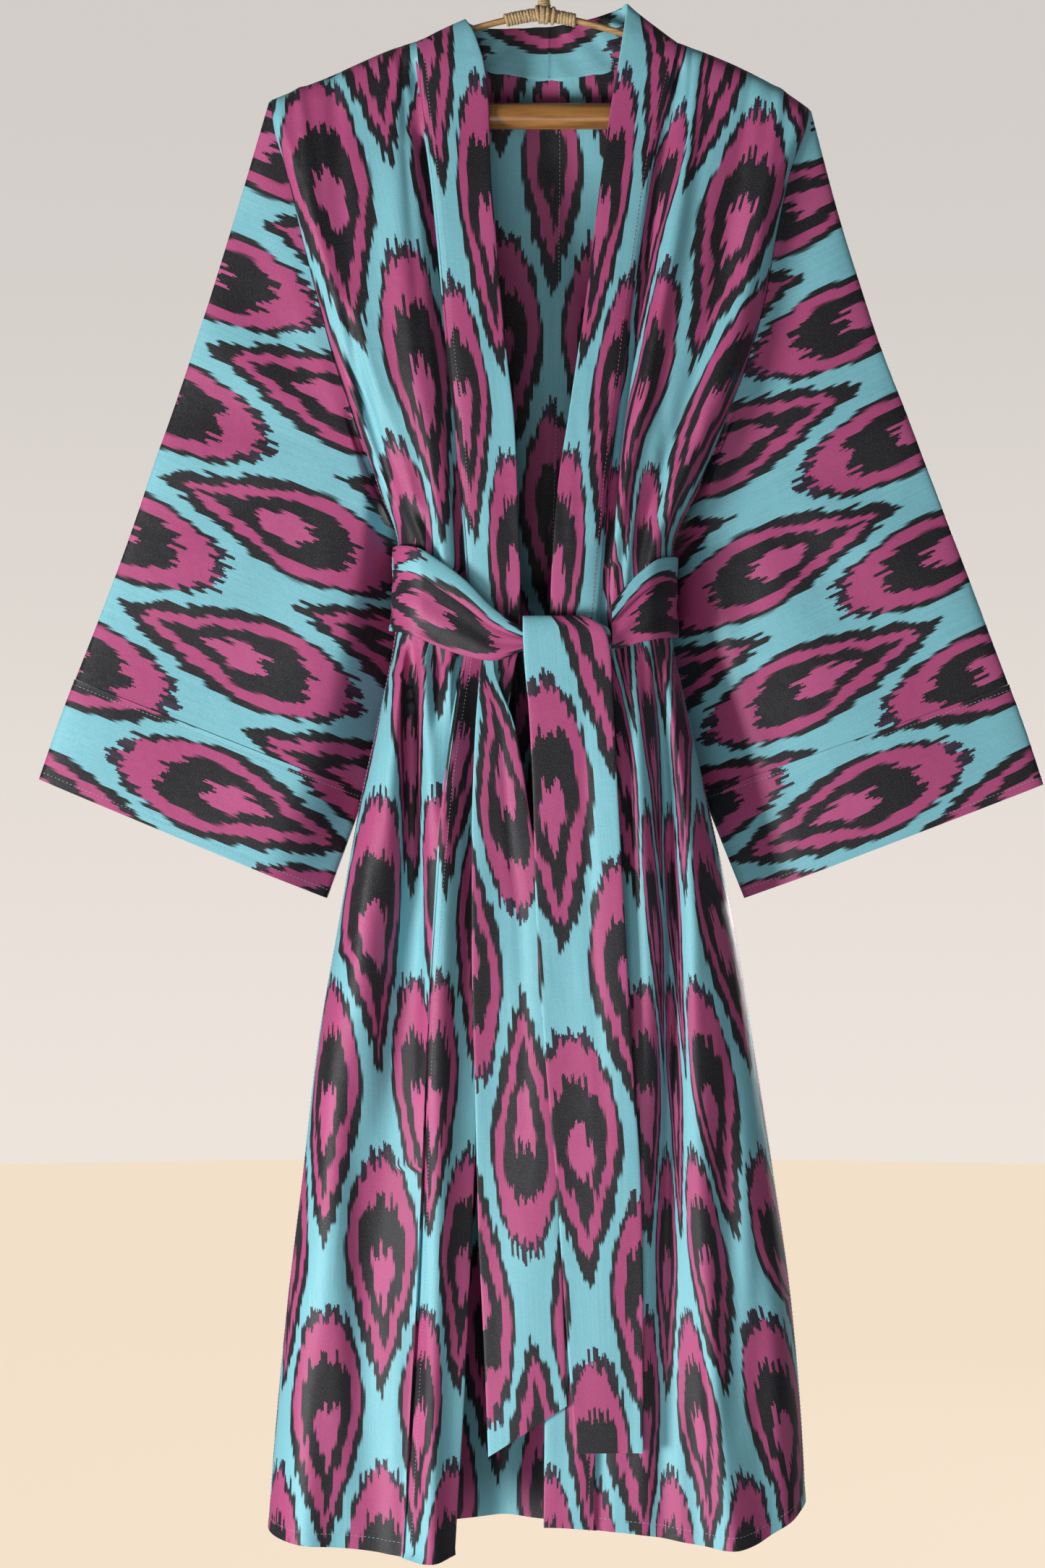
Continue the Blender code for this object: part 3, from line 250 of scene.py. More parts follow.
FOLDS_RIGHT = (
    ((95, 116, 0, 6), (150, 106, -3, 6), (256, 88, -9, 7), (350, 73, -11, 7), (450, 57, -9, 6),
     (530, 48, -3, 5), (580, 46, 0, 5)),
    ((100, 124, 0, 8), (171, 117, 5, 8), (256, 105, 8, 9), (350, 88, 9, 9), (450, 67, 8, 8),
     (530, 54, 3, 6), (570, 54, 0, 6)),
    ((150, 160, 0, 12), (260, 146, -4, 12), (380, 118, -5, 10), (480, 84, -5, 7), (550, 74, 0, 6)),
    ((330, 150, 0, 8), (420, 124, 5, 8), (470, 104, 6, 7), (530, 84, 2, 6), (560, 84, 0, 6)),
    ((400, 140, 0, 5), (440, 124, -6, 5), (480, 108, -4, 5), (540, 93, 0, 5)),
    ((566, 72, 0, 6), (610, 73, 7, 8), (700, 78, 10, 10), (850, 82, 8, 12), (1050, 82, 2, 13),
     (1200, 82, 0, 13)),
    ((566, 91, 0, 5), (600, 93, -9, 6), (700, 99, -15, 8), (813, 103, -16, 9), (986, 101, -14, 10),
     (1096, 101, -9, 12), (1290, 92, -3, 14)),
    ((566, 98, 0, 4), (610, 102, 4, 5), (720, 116, 7, 11), (900, 122, 10, 14), (1039, 124, 14, 15),
     (1226, 145, 16, 17), (1290, 152, 18, 18)),
    ((640, 128, 0, 8), (760, 144, -3, 12), (900, 156, -3, 16), (1100, 176, -2, 18),
     (1290, 184, -3, 20)),
)
FOLDS_BACK = (
    ((150, -70, 0, 14), (300, -66, 4, 16), (450, -58, 5, 12), (540, -52, 1, 8), (580, -52, 0, 8)),
    ((200, -122, 0, 10), (330, -112, -6, 10), (460, -92, -6, 8), (540, -84, 0, 6)),
    ((180, 60, 0, 14), (320, 56, 4, 16), (460, 48, 5, 12), (540, 44, 1, 8), (580, 44, 0, 8)),
    ((200, 124, 0, 10), (330, 112, -6, 10), (460, 86, -6, 8), (540, 78, 0, 6)),
    ((566, -84, 0, 6), (620, -88, 7, 8), (760, -104, 12, 14), (1000, -124, 14, 20),
     (1290, -138, 16, 24)),
    ((566, -62, 0, 6), (620, -62, -7, 7), (760, -66, -12, 12), (1000, -72, -12, 17),
     (1290, -78, -11, 20)),
    ((566, -34, 0, 6), (620, -34, 6, 8), (760, -33, 10, 13), (1000, -30, 11, 18), (1290, -28, 12, 20)),
    ((566, 4, 0, 6), (620, 4, -4, 8), (760, 6, -7, 14), (1000, 8, -8, 18), (1290, 8, -8, 20)),
    ((566, 42, 0, 6), (620, 44, 6, 8), (760, 50, 10, 13), (1000, 56, 12, 17), (1290, 62, 13, 20)),
    ((566, 68, 0, 6), (620, 72, -6, 7), (760, 84, -11, 12), (1000, 98, -11, 17), (1290, 108, -10, 20)),
    ((566, 88, 0, 5), (620, 96, 5, 8), (760, 116, 9, 13), (1000, 140, 10, 18), (1290, 156, 11, 22)),
)

# Sleeves: the outer fold as x and drop, and the under fold as drop, distance in from the body's
# side line, and y.
OUTER = {
    "left": (
        (-216.9, 142.0), (-244, 234), (-277, 340), (-305, 422), (-337, 514), (-379, 624), (-400, 684),
    ),
    "right": (
        (216.6, 149.0), (239, 234), (264, 315), (289, 382), (324, 474), (360, 571), (384, 634), (402, 688),
    ),
}
UNDER_LINE = (
    (430, -1.9, 1.5), (450, -5.0, 13.0), (475, -1.0, 27.0), (500, 4.0, 36.0), (535, 5.5, 40.0),
    (571, 5.5, 40.0), (620, 5.5, 39.0), (665, 4.0, 35.0), (700, -1.0, 28.0), (779, -15.0, 14.0),
)
SLEEVE_COLUMNS = ("along", "half_depth", "tip_y")
SLEEVE_DEPTH = ((0.0, 9.5, 0.0), (0.3, 8.5, -1.0), (0.7, 8.5, -1.0), (1.0, 11.5, -2.0))
CUFF_OUTER = 0.852
CUFF_UNDER = 0.758
ARMHOLE_CLEAR = 1.5
BULGE_RUN = 0.3
BULGE_POWER = 1.5
BULGE_SQUARE = 0.25
LENS_POWER = 0.7
TUCK_START = 0.78

# The belt: its upper and lower edge by x, and how far it stands before the cloth.
BELT_COLUMNS = ("x", "top", "bottom", "stand")
BELT_FRONT = {
    "left": (
        (-122, 499, 565, 4.0), (-100, 502, 571, 4.5), (-80, 513, 580, 6.0), (-60, 528, 587, 7.5),
        (-38, 550, 591, 8.5), (-14, 567, 583, 9.0),
    ),
    "right": (
        (112, 508, 571, 4.0), (95, 511, 573, 4.5), (80, 521, 576, 6.0), (66, 535, 580, 7.5),
        (56, 548, 583, 8.5),
    ),
}
BELT_BACK = ((-125, 499, 565, 4.0), (0, 504, 571, 4.0), (115, 508, 571, 4.0))
BELT_LEVEL = 535.0
BELT_PUFF = 1.6
BELT_TURN_MORE = 3.0
BELT_SPLIT = 0.62
BELT_BACK_SPLIT = 0.14
BELT_BACK_STAND = 7.0
TAIL_PUFF = 1.2
TAIL_OVER = (11.0, 3.0)
BELT_SIDE = 4.6
TAIL_COLUMNS = ("drop", "left", "right", "y")
TAIL_RIGHT = (
    (556.5, -14, 36, -60.5), (566, -14, 50, -63.5), (590, -13, 55, -64.5), (628, -9.5, 57, -66.0),
    (700, -6, 60.5, -66.5), (780, -4, 65, -66.5), (900, 3.5, 71.5, -67.0), (1001, 12, 78, -68.0),
    (1110, 19, 80, -69.0), (1223, 27, 80, -70.0),
)
TAIL_LEFT = (
    (578, -44, -15, -50.5), (596, -47, -13, -53.5), (620, -49.5, -9, -58.5), (650, -51.5, -2, -60.5),
    (730, -54, 3, -60.5), (810, -54, 8, -60.5), (920, -51.5, 11, -61.0), (1045, -48.5, 14, -62.0),
    (1105, -45.5, 17, -62.5), (1214, -41, 21, -63.0),
)
TAIL_SLANT = 40.0
KNOT_CENTRE = (21.2, -54.4, 575.0)
KNOT_HALF = (34.0, 6.6, 15.5)
PANEL_SPLIT = 0.8

# The photo's view of the hanger's plane, in millimetres, and its scale.
CAMERA_X = -14.2
CAMERA_AWAY = 2750.0
CAMERA_DROP = 687.6
CAMERA_TALL = 1255.3
SCALE = 0.579
PHOTO_X = 747.0
PHOTO_TOP = 60.0

# The pattern: one repeat is two half-drop columns of drops, one pitch is the length of a drop and its gap.
REPEAT = 108.0
PITCH = 270.0
PITCH_PX = 466.0
BACK_CENTRE = 11.0
BACK_TOP = 102.0

# Where the columns of drops run on each front: drop, then the seen x of each half repeat.
WARP_LEFT = (
    (106.3, -228.7, -183.5, -134.3, -86.8), (186.2, -224.1, -173.7, -122.2, -84.0),
    (240.1, -209.6, -159.8, -111.2, -79.3), (293.9, -198.0, -154.0, -103.6, -72.4),
    (345.4, -177.8, -140.1, -97.9, -64.8), (407.4, -148.8, -119.3, -88.0, -59.1),
    (461.8, -125.6, -102.5, -81.1, -57.3), (500.0, -121.0, -99.6, -78.2, -56.2),
    (581.1, -140.1, -119.9, -98.4, -78.2), (688.2, -154.6, -127.4, -104.2, -83.4),
    (765.8, -161.5, -129.7, -102.5, -78.2), (886.8, -167.9, -129.7, -100.2, -68.3),
    (1031.6, -173.7, -125.1, -93.8, -60.8), (1157.2, -168.5, -126.2, -93.8, -59.1),
    (1275.9, -172.0, -127.4, -90.9, -56.2),
)
WARP_RIGHT = (
    (117.9, 106.0, 123.3, 143.6, 178.3, 213.1, 239.1), (183.9, 88.6, 107.1, 125.6, 171.4, 209.0, 236.2),
    (256.9, 78.2, 90.3, 102.5, 152.3, 192.8, 221.8), (314.8, 70.1, 80.5, 91.5, 132.6, 172.5, 201.5),
    (361.1, 64.3, 73.5, 82.8, 117.5, 149.4, 175.4), (430.6, 52.7, 60.8, 68.9, 88.6, 117.5, 140.7),
    (500.0, 45.2, 56.7, 68.9, 82.8, 100.2, 114.6), (581.1, 52.7, 65.4, 79.9, 94.4, 107.1, 120.4),
    (685.9, 72.4, 82.2, 92.1, 103.1, 113.5, 124.5), (746.1, 77.0, 86.3, 95.5, 104.8, 114.6, 127.4),
    (819.1, 82.8, 93.2, 101.3, 108.9, 118.1, 146.5), (896.1, 87.4, 97.9, 106.5, 115.2, 126.2, 163.9),
    (1002.6, 88.6, 101.3, 110.6, 123.3, 145.3, 176.6), (1132.9, 86.8, 101.3, 119.3, 141.9, 181.2, 205.5),
    (1252.7, 84.5, 103.6, 136.1, 166.8, 199.8, 227.5),
)
# Where the tops of the drops lie: drop, then the number of the drop.
TOPS_LEFT = (
    (-15.3, -0.5), (122, 0.02), (240.1, 0.47), (407.4, 1), (691.1, 2), (977.1, 3), (1229.6, 4), (1357, 4.5),
)
TOPS_RIGHT = (
    (7.9, -0.5), (146.3, 0.02), (259.8, 0.47), (425.9, 1), (702.7, 2), (978.3, 3), (1235.4, 4), (1362.8, 4.5),
)
# Each front's lines, the half repeats that they stand for, its tops and the way that x runs.
WARP = {
    "left": (WARP_LEFT, (-3, -2, -1, 0), TOPS_LEFT, -1.0),
    "right": (WARP_RIGHT, (-1, 0, 1, 2, 3, 4), TOPS_RIGHT, 1.0),
}
# Bands: the column's place across them, their width in repeats, and their tops.
BAND_WARP = {
    "left": (
        0.87, 1.42,
        ((-32, -0.5), (118, 0), (280, 0.5), (417, 1), (691, 2), (977, 3), (1230, 4), (1357, 4.5)),
    ),
    "right": (
        0.87, 1.6,
        ((-36, -0.5), (114, 0), (273.6, 0.5), (413, 1), (703, 2), (978, 3), (1235, 4), (1363, 4.5)),
    ),
}
# The collar at the centre back: its place along the pattern, and its place and scale across it.
COLLAR_WARP = (-0.72, 1.3, 2.44)
# Sleeves: the warp's way and the way across it in the photo, the first row and half repeat,
# where the tops lie by row, the cuff's own row and top, and the way that drops point.
SLEEVE_WARP = {
    "left": (
        (0.9206, 0.3905), (-0.3905, 0.9206), (705.0, 94.5),
        ((370, 818), (520, 832), (705, 842), (800, 840)), 894.0, 545.0, 1.0,
    ),
    "right": (
        (0.90, -0.43), (0.43, 0.90), (1334.0, 86.0),
        ((990, 474), (1075, 470), (1161, 450), (1240, 441), (1334, 437), (1403, 432)), 1510.0, 760.0, -1.0,
    ),
}
# Tails: the column's place across them by drop, their width in repeats, and their tops.
TAIL_WARP = {
    "right": (
        ((300, 0.18), (600, 0.19), (700, 0.22), (818, 0.3), (1300, 0.34)), 1.52,
        ((320, -1), (599, 0), (881, 1), (1143, 2), (1423, 3)),
    ),
    "left": (
        ((500, 0.05), (591, 0.05), (626, 0.3), (685, 0.46), (795, 0.6), (1300, 0.62)), 1.3,
        ((527, 1), (796.5, 0), (1069.8, -1), (1347, -2)),
    ),
}

# How much of its width the left tail shows where it comes out under the knot, by drop.
TAIL_GATHER = ((500, 0.28), (585, 0.28), (635, 0.61), (729, 0.84), (820, 1.0), (1300, 1.0))

# Small creases that only the shown cloth has, in the same form as the folds above.
FINE_LEFT = (
    ((96, -170, 0, 6), (130, -166, -1.6, 6), (230, -158, -1.8, 9), (330, -146, 0, 9)),
    ((100, -196, 0, 4), (150, -190, 1.6, 5), (260, -176, 2.0, 7), (360, -152, 1.5, 7), (430, -130, 0, 6)),
    ((96, -112, 0, 3), (118, -110, -2.2, 3), (200, -105, -2.0, 5), (300, -98, -1.2, 6), (380, -92, 0, 6)),
    ((300, -176, 0, 4), (360, -158, 2.4, 4), (430, -134, 3.0, 4), (500, -108, 0, 3)),
    ((340, -170, 0, 4), (400, -148, -2.6, 4), (470, -118, -2.4, 4), (505, -104, 0, 3)),
    ((420, -88, 0, 3), (460, -82, 2.0, 3.5), (510, -76, 2.0, 3), (540, -74, 0, 3)),
    ((566, -118, 0, 3), (590, -119, -2.4, 4), (680, -126, -2.2, 6), (800, -134, 0, 7)),
    ((566, -76, 0, 3), (590, -76, -2.4, 3), (640, -75, -2.0, 4), (700, -74, 0, 5)),
    ((620, -150, 0, 6), (760, -158, 2.4, 9), (950, -170, 2.2, 12), (1180, -186, 2.0, 13),
     (1289, -192, 2.0, 13)),
    ((700, -62, 0, 5), (860, -66, -3.0, 7), (1060, -70, -3.0, 8), (1289, -74, -3.0, 8)),
    ((250, -182, 0, 5), (273, -177.5, -3.0, 5), (328, -162, -5.0, 5), (387, -139, -5.5, 5),
     (478, -113, -4.5, 4), (500, -108, 0, 4)),
    ((566, -104, 0, 4), (590, -103.5, -5.5, 5), (740, -102.5, -6.0, 6), (800, -101, -5.5, 9),
     (1289, -98, -5.0, 11)),
)
FINE_RIGHT = (
    ((96, 172, 0, 6), (140, 166, -1.6, 6), (250, 152, -1.8, 9), (340, 136, 0, 9)),
    ((96, 122, 0, 3), (120, 120, -2.0, 3), (190, 112, -1.8, 4), (280, 102, 0, 5)),
    ((100, 196, 0, 4), (160, 188, 1.6, 5), (270, 168, 2.0, 7), (380, 140, 1.6, 7), (450, 118, 0, 6)),
    ((310, 168, 0, 4), (370, 148, 2.6, 4), (440, 124, 3.0, 4), (500, 102, 0, 3)),
    ((350, 160, 0, 4), (410, 136, -2.6, 4), (480, 106, -2.4, 4), (510, 98, 0, 3)),
    ((430, 80, 0, 3), (470, 74, 2.0, 3.5), (515, 68, 2.0, 3), (545, 66, 0, 3)),
    ((566, 112, 0, 3), (590, 113, -2.4, 4), (680, 118, -2.2, 6), (800, 124, 0, 7)),
    ((566, 84, 0, 3), (590, 85, 2.6, 3), (640, 87, 2.2, 4), (720, 90, 0, 5)),
    ((640, 146, 0, 6), (780, 156, 2.4, 9), (950, 168, 2.4, 12), (1180, 186, 2.2, 13), (1289, 192, 2.0, 13)),
    ((760, 60, 0, 5), (900, 58, -3.0, 7), (1080, 56, -3.0, 8), (1289, 56, -3.0, 8)),
)
FINE_BACK = (
    ((110, -120, 0, 8), (180, -112, 2.0, 9), (300, -96, 2.4, 10), (430, -80, 0, 8)),
    ((110, 124, 0, 8), (180, 114, 2.0, 9), (300, 94, 2.4, 10), (430, 76, 0, 8)),
    ((566, -20, 0, 3), (600, -20, -2.6, 4), (700, -20, -2.2, 6), (820, -20, 0, 8)),
    ((566, 24, 0, 3), (600, 24, -2.6, 4), (700, 24, -2.2, 6), (820, 24, 0, 8)),
    ((640, -160, 0, 6), (800, -166, 3.0, 10), (1000, -176, 3.0, 13), (1289, -190, 3.0, 14)),
    ((640, 156, 0, 6), (800, 162, 3.0, 10), (1000, 174, 3.0, 13), (1289, 186, 3.0, 14)),
)

# The flat size of each piece's cloth as cut, in metres, and its area where it isn't a rectangle.
CUT = {
    "front_left": ((0.16, 1.21), 0.155),
    "front_right": ((0.23, 1.19), 0.187),
    "back_left": ((0.28, 1.21), 0.256),
    "back_right": ((0.27, 1.20), 0.233),
    "band_left": ((0.053, 1.33), 0.062),
    "band_right": ((0.051, 1.30), 0.053),
    "sleeve": ((0.60, 0.49), 0.161),
    "cuff": ((0.53, 0.091), 0.047),
    "belt_left": ((0.07, 0.16), 0.0083),
    "belt_right": ((0.063, 0.10), 0.0054),
    "flap_left": ((0.025, 0.16), 0.003),
    "flap_right": ((0.022, 0.10), 0.0018),
    "belt_back": ((0.068, 0.29), None),
    "tail_left": ((0.062, 0.64), 0.037),
    "tail_right": ((0.066, 0.69), None),
}


def cubic(a, b, m, n, t):
    """From a at t 0 to b at 1, where it starts with slope m and ends with slope n."""
    return a + t * (m + t * (3 * (b - a) - 2 * m - n + t * (m + n - 2 * (b - a))))


def through(table, column):
    """A smooth function through one column of a table, monotone between its rows."""
    rows = np.array(table, float)
    at, value = rows[:, 0], rows[:, column]
    step, rise = np.diff(at), np.diff(value)
    slope = rise / step
    mid = np.zeros(len(at))
    mid[0], mid[-1] = slope[0], slope[-1]
    for i in range(1, len(at) - 1):
        before, after = slope[i - 1], slope[i]
        if before * after > 0:
            weight_a, weight_b = 2 * step[i] + step[i - 1], step[i] + 2 * step[i - 1]
            mid[i] = (weight_a + weight_b) / (weight_a / before + weight_b / after)

    def read(x):
        x = np.clip(np.asarray(x, float), at[0], at[-1])
        i = np.clip(np.searchsorted(at, x, side="right") - 1, 0, len(step) - 1)
        t = (x - at[i]) / step[i]
        return cubic(value[i], value[i + 1], mid[i] * step[i], mid[i + 1] * step[i], t)

    return read


def columns(names, table):
    """Every column of a table but the first, as smooth functions of the first."""
    return {name: through(table, i) for i, name in enumerate(names) if i}


def smooth(x, low=0.0, high=1.0):
    """0 below low, 1 above high and a smooth step between them."""
    t = np.clip((np.asarray(x, float) - low) / (high - low), 0, 1)
    return t * t * (3 - 2 * t)


LINES = columns(FRONT_COLUMNS, FRONT_LINES)
DEPTHS = columns(DEPTH_COLUMNS, DEPTH_LINES)
RIDGE = columns(RIDGE_COLUMNS, RIDGE_LINE)["drop"]
HEM = columns(HEM_COLUMNS, HEM_LINE)
NECK = columns(NECK_COLUMNS, NECK_LINE)["drop"]


def fold_functions(folds):
    """Each fold as its first drop, its last drop and its smooth functions of drop."""
    return [(fold[0][0], fold[-1][0], columns(FOLD_COLUMNS, fold)) for fold in folds]


FINE_FOLDS = {
    "left": fold_functions(FINE_LEFT),
    "right": fold_functions(FINE_RIGHT),
    "back": fold_functions(FINE_BACK),
}
FOLDS = {
    "left": fold_functions(FOLDS_LEFT),
    "right": fold_functions(FOLDS_RIGHT),
    "back": fold_functions(FOLDS_BACK),
}


def folded(folds, x, drop):
    """How far a list of folds pushes the cloth outwards, in millimetres."""
    total = np.zeros(np.broadcast(x, drop).shape)
    for first, last, fold in folds:
        inside = drop >= first
        if last < HEM_LEVEL:
            inside = inside & (drop <= last)
        bump = fold["rise"](drop) * np.exp(-(((x - fold["x"](drop)) / fold["width"](drop)) ** 2))
        total = total + np.where(inside, bump, 0.0)
    return total


def lens(q):
    """The half depth of a sleeve across its width, over its greatest half depth."""
    q = np.clip(q, 0, 1)
    return (2 * np.sqrt(q * (1 - q))) ** LENS_POWER


def armhole_half(drop, tip):
    """Half of the slot between front and back where a sleeve opens into the body."""
    q = (np.asarray(drop, float) - tip) / (UNDERARM_DROP - tip)
    return np.maximum(SLEEVE_DEPTH[0][1] * lens(q) - ARMHOLE_CLEAR, 0)


def cloth_depth(which, x, drop):
    """Distance of the hanging cloth from the hanger's plane, at a place seen from the front."""
    side = "back" if which == "back" else "front"
    fall = np.maximum(drop - RIDGE(x), 0)
    rounded = (1 - np.exp(-fall / RIDGE_ROUND)) ** RIDGE_POWER
    return DEPTHS[side](drop) * rounded + folded(FOLDS[which], x, drop) * smooth(fall, 4, 50)


def side_line(hand, drop):
    """The x of a side seam."""
    return LINES["side_" + hand](drop)


def shoulder_share(level):
    """How much of the shoulder's own rise a row takes: 1 on the ridge, 0 a hand's width below."""
    return np.clip(1 - (level - SHOULDER_LEVEL) / SHOULDER_RUN, 0, 1) ** 2


def hem_share(level):
    """How much of the hem's own fall a row takes: 0 above the knees, 1 at the hem."""
    return np.clip((level - HEM_START) / (HEM_LEVEL - HEM_START), 0, 1) ** HEM_POWER


def quick_start(t):
    """0 to 1, faster at its end."""
    t = np.clip(t, 0, 1)
    return t * (0.55 + 0.45 * t)


def panel_place(which, hand, start, top_line, u, level):
    """A point of a front or back panel. u runs from its inner seam at 0 to its side seam at 1."""
    sign = SIGN[hand]
    u, level = np.broadcast_arrays(np.asarray(u, float), np.asarray(level, float))
    angle = np.clip((u - PANEL_SPLIT) / (1 - PANEL_SPLIT), 0, 1) * np.pi / 2

    def across(drop):
        inner = start(drop)
        turn = DEPTHS["turn"](drop)
        flat = side_line(hand, drop) - sign * turn
        straight = inner + (flat - inner) * u / PANEL_SPLIT
        return np.where(u < PANEL_SPLIT, straight, flat + sign * turn * np.sin(angle))

    # The top line is given by x, and x hangs on the drop, so a few rounds settle both.
    top = np.full(u.shape, SHOULDER_LEVEL)
    for _ in range(8):
        top = top_line(across(top))
    hem = HEM["back" if which == "back" else "front"](across(HEM_LEVEL + 0 * u))
    drop = level + (top - SHOULDER_LEVEL) * shoulder_share(level) + (hem - HEM_LEVEL) * hem_share(level)
    x = across(drop)
    end = armhole_half(drop, OUTER[hand][0][1])
    depth = end + (cloth_depth(which, x, drop) - end) * np.cos(angle)
    return x, np.maximum(depth, 0), drop


def front_point(hand):
    """The surface of one front panel, from the band's seam to the side."""
    start = LINES["seam_" + hand]

    def place(u, level):
        x, depth, drop = panel_place(hand, hand, start, RIDGE, u, level)
        return x, -depth, drop

    return place


def back_top(x):
    """The upper edge of the back: the neck seam between the shoulders, and the ridge beyond it."""
    inside = (x > NECK_LINE[0][0]) & (x < NECK_LINE[-1][0])
    return np.where(inside, np.maximum(NECK(x), RIDGE(x)), RIDGE(x))


def back_point(hand):
    """The surface of one back half, from the centre-back seam to the side."""
    return lambda u, level: panel_place("back", hand, DEPTHS["centre_back"], back_top, u, level)


def spline(points, t):
    """A Catmull-Rom curve through points, t from 0 to 1 by chord length."""
    points = np.array(points, float)
    chord = np.concatenate([[0], np.cumsum(np.linalg.norm(np.diff(points, axis=0), axis=1))])
    at = np.clip(np.asarray(t, float), 0, 1) * chord[-1]
    i = np.clip(np.searchsorted(chord, at, side="right") - 1, 0, len(chord) - 2)
    step = np.diff(chord)
    tangent = np.empty_like(points)
    tangent[0] = (points[1] - points[0]) / step[0]
    tangent[-1] = (points[-1] - points[-2]) / step[-1]
    for k in range(1, len(points) - 1):
        tangent[k] = (points[k + 1] - points[k - 1]) / (chord[k + 1] - chord[k - 1])
    t = ((at - chord[i]) / step[i])[..., None]
    width = step[i][..., None]
    return cubic(points[i], points[i + 1], tangent[i] * width, tangent[i + 1] * width, t)


def band_point(hand):
    """One band: from the hem up its front edge, over the neck side, to the centre-back seam.

    across is 0 at the seam and 1 at the free edge. along is 1 at the hem, 0 where the band
    leaves the front for the neck, and -1 at the centre back.
    """
    sign = SIGN[hand]
    edge_table = COLLAR_EDGE[hand]
    join_level = edge_table[0][2]
    seam_x, edge_x = LINES["seam_" + hand], LINES["edge_" + hand]
    neck_start = NECK_LINE[0 if hand == "left" else -1][0]
    centre = DEPTHS["centre_back"](SHOULDER_LEVEL)

    def on_front(across, level):
        hem_x = seam_x(HEM_LEVEL) + across * (edge_x(HEM_LEVEL) - seam_x(HEM_LEVEL))
        sink = (HEM["front"](hem_x) - HEM_LEVEL) * hem_share(level)
        lift = (RIDGE(seam_x(SHOULDER_LEVEL)) - SHOULDER_LEVEL) * shoulder_share(level)
        drop = level + lift + sink
        inner = seam_x(drop)
        x = inner + across * (edge_x(drop) - inner)
        return np.stack([x, -cloth_depth(hand, x, drop), drop + 0 * x], -1)

    def seam_over(t):
        """The seam from the top front level round the neck, t from 0 to 1."""
        level = join_level + (SHOULDER_LEVEL - join_level) * np.clip(t / NECK_TURN, 0, 1)
        front = on_front(np.zeros_like(t), level)
        round_neck = quick_start((t - NECK_TURN) / (1 - NECK_TURN))
        x = neck_start + (centre + sign * CENTRE_GAP - neck_start) * round_neck
        drop = NECK(x)
        y = cloth_depth("back", x, drop) * np.clip((t - NECK_TURN) / NECK_EASE, 0, 1)
        back = np.stack([x, y, drop], -1)
        return np.where((t < NECK_TURN)[..., None], front, back)

    def point(across, along):
        across, along = np.broadcast_arrays(np.asarray(across, float), np.asarray(along, float))
        lower = on_front(across, join_level + (HEM_LEVEL - join_level) * np.maximum(along, 0))
        t = np.clip(-along, 0, 1)
        seam = seam_over(t)
        edge = spline(edge_table, t)
        edge[..., 0] += sign * CENTRE_GAP * smooth(t, 0.9, 1)
        start_edge = on_front(np.ones_like(across), np.full_like(along, join_level))
        miss = start_edge - spline(edge_table, np.zeros_like(t))
        edge = edge + miss * (1 - smooth(t, 0, 0.4))[..., None]
        upper = seam + across[..., None] * (edge - seam)
        start_row = on_front(across, np.full_like(along, join_level))
        start_ruled = on_front(np.zeros_like(across), np.full_like(along, join_level))
        start_ruled = start_ruled + across[..., None] * (start_edge - start_ruled)
        upper = upper + (start_row - start_ruled) * (1 - smooth(t, 0, 0.25))[..., None]
        mixed = np.where((along > 0)[..., None], lower, upper)
        return mixed[..., 0], mixed[..., 1], mixed[..., 2]

    return point


def fold_share(along, cuff):
    """The share of a fold's length at a row: cuff is the share where the cuff is sewn on."""
    return np.where(along < 1, along * cuff, cuff + (along - 1) * (1 - cuff))


def sleeve_point(hand):
    """A sleeve with its cuff. turn is the angle round it: 0 at its outer fold, pi at its under fold."""
    sign = SIGN[hand]
    outer = np.array(OUTER[hand], float)
    tip = outer[0, 1]
    under = np.array(
        [(side_line(hand, drop) - sign * inward, y, drop) for drop, inward, y in UNDER_LINE], float
    )
    depth = columns(SLEEVE_COLUMNS, SLEEVE_DEPTH)

    def point(turn, along):
        turn, along = np.broadcast_arrays(np.asarray(turn, float), np.asarray(along, float))
        outer_share = fold_share(along, CUFF_OUTER)
        under_share = fold_share(along, CUFF_UNDER)
        fold = spline(outer, outer_share)
        low = spline(under, under_share)
        q = (1 - np.cos(turn)) / 2
        x = fold[..., 0] + q * (low[..., 0] - fold[..., 0])
        drop = fold[..., 1] + q * (low[..., 2] - fold[..., 1])
        start_drop = tip + q * (UNDERARM_DROP - tip)
        chord = outer[0, 0] + q * (side_line(hand, UNDERARM_DROP) - outer[0, 0])
        bulge = (side_line(hand, start_drop) - chord) * np.sin(np.clip(q, 0, 1) * np.pi) ** BULGE_SQUARE
        x = x + bulge * np.clip(1 - outer_share / BULGE_RUN, 0, 1) ** BULGE_POWER
        tuck = smooth(q, TUCK_START, 1.0)
        middle = depth["tip_y"](outer_share) * (1 - q) + low[..., 1] * tuck
        half = depth["half_depth"](outer_share) * np.abs(np.sin(turn)) ** LENS_POWER
        y = middle - half * np.sign(np.sin(turn))
        return x, y, drop

    return point


def belt_reach(hand, belt, across):
    """The x where the belt turns round a side, by its place across."""
    side_x = side_line(hand, BELT_LEVEL)
    side_drop = belt["top"](side_x) + across * (belt["bottom"](side_x) - belt["top"](side_x))
    return side_line(hand, side_drop) + SIGN[hand] * BELT_SIDE


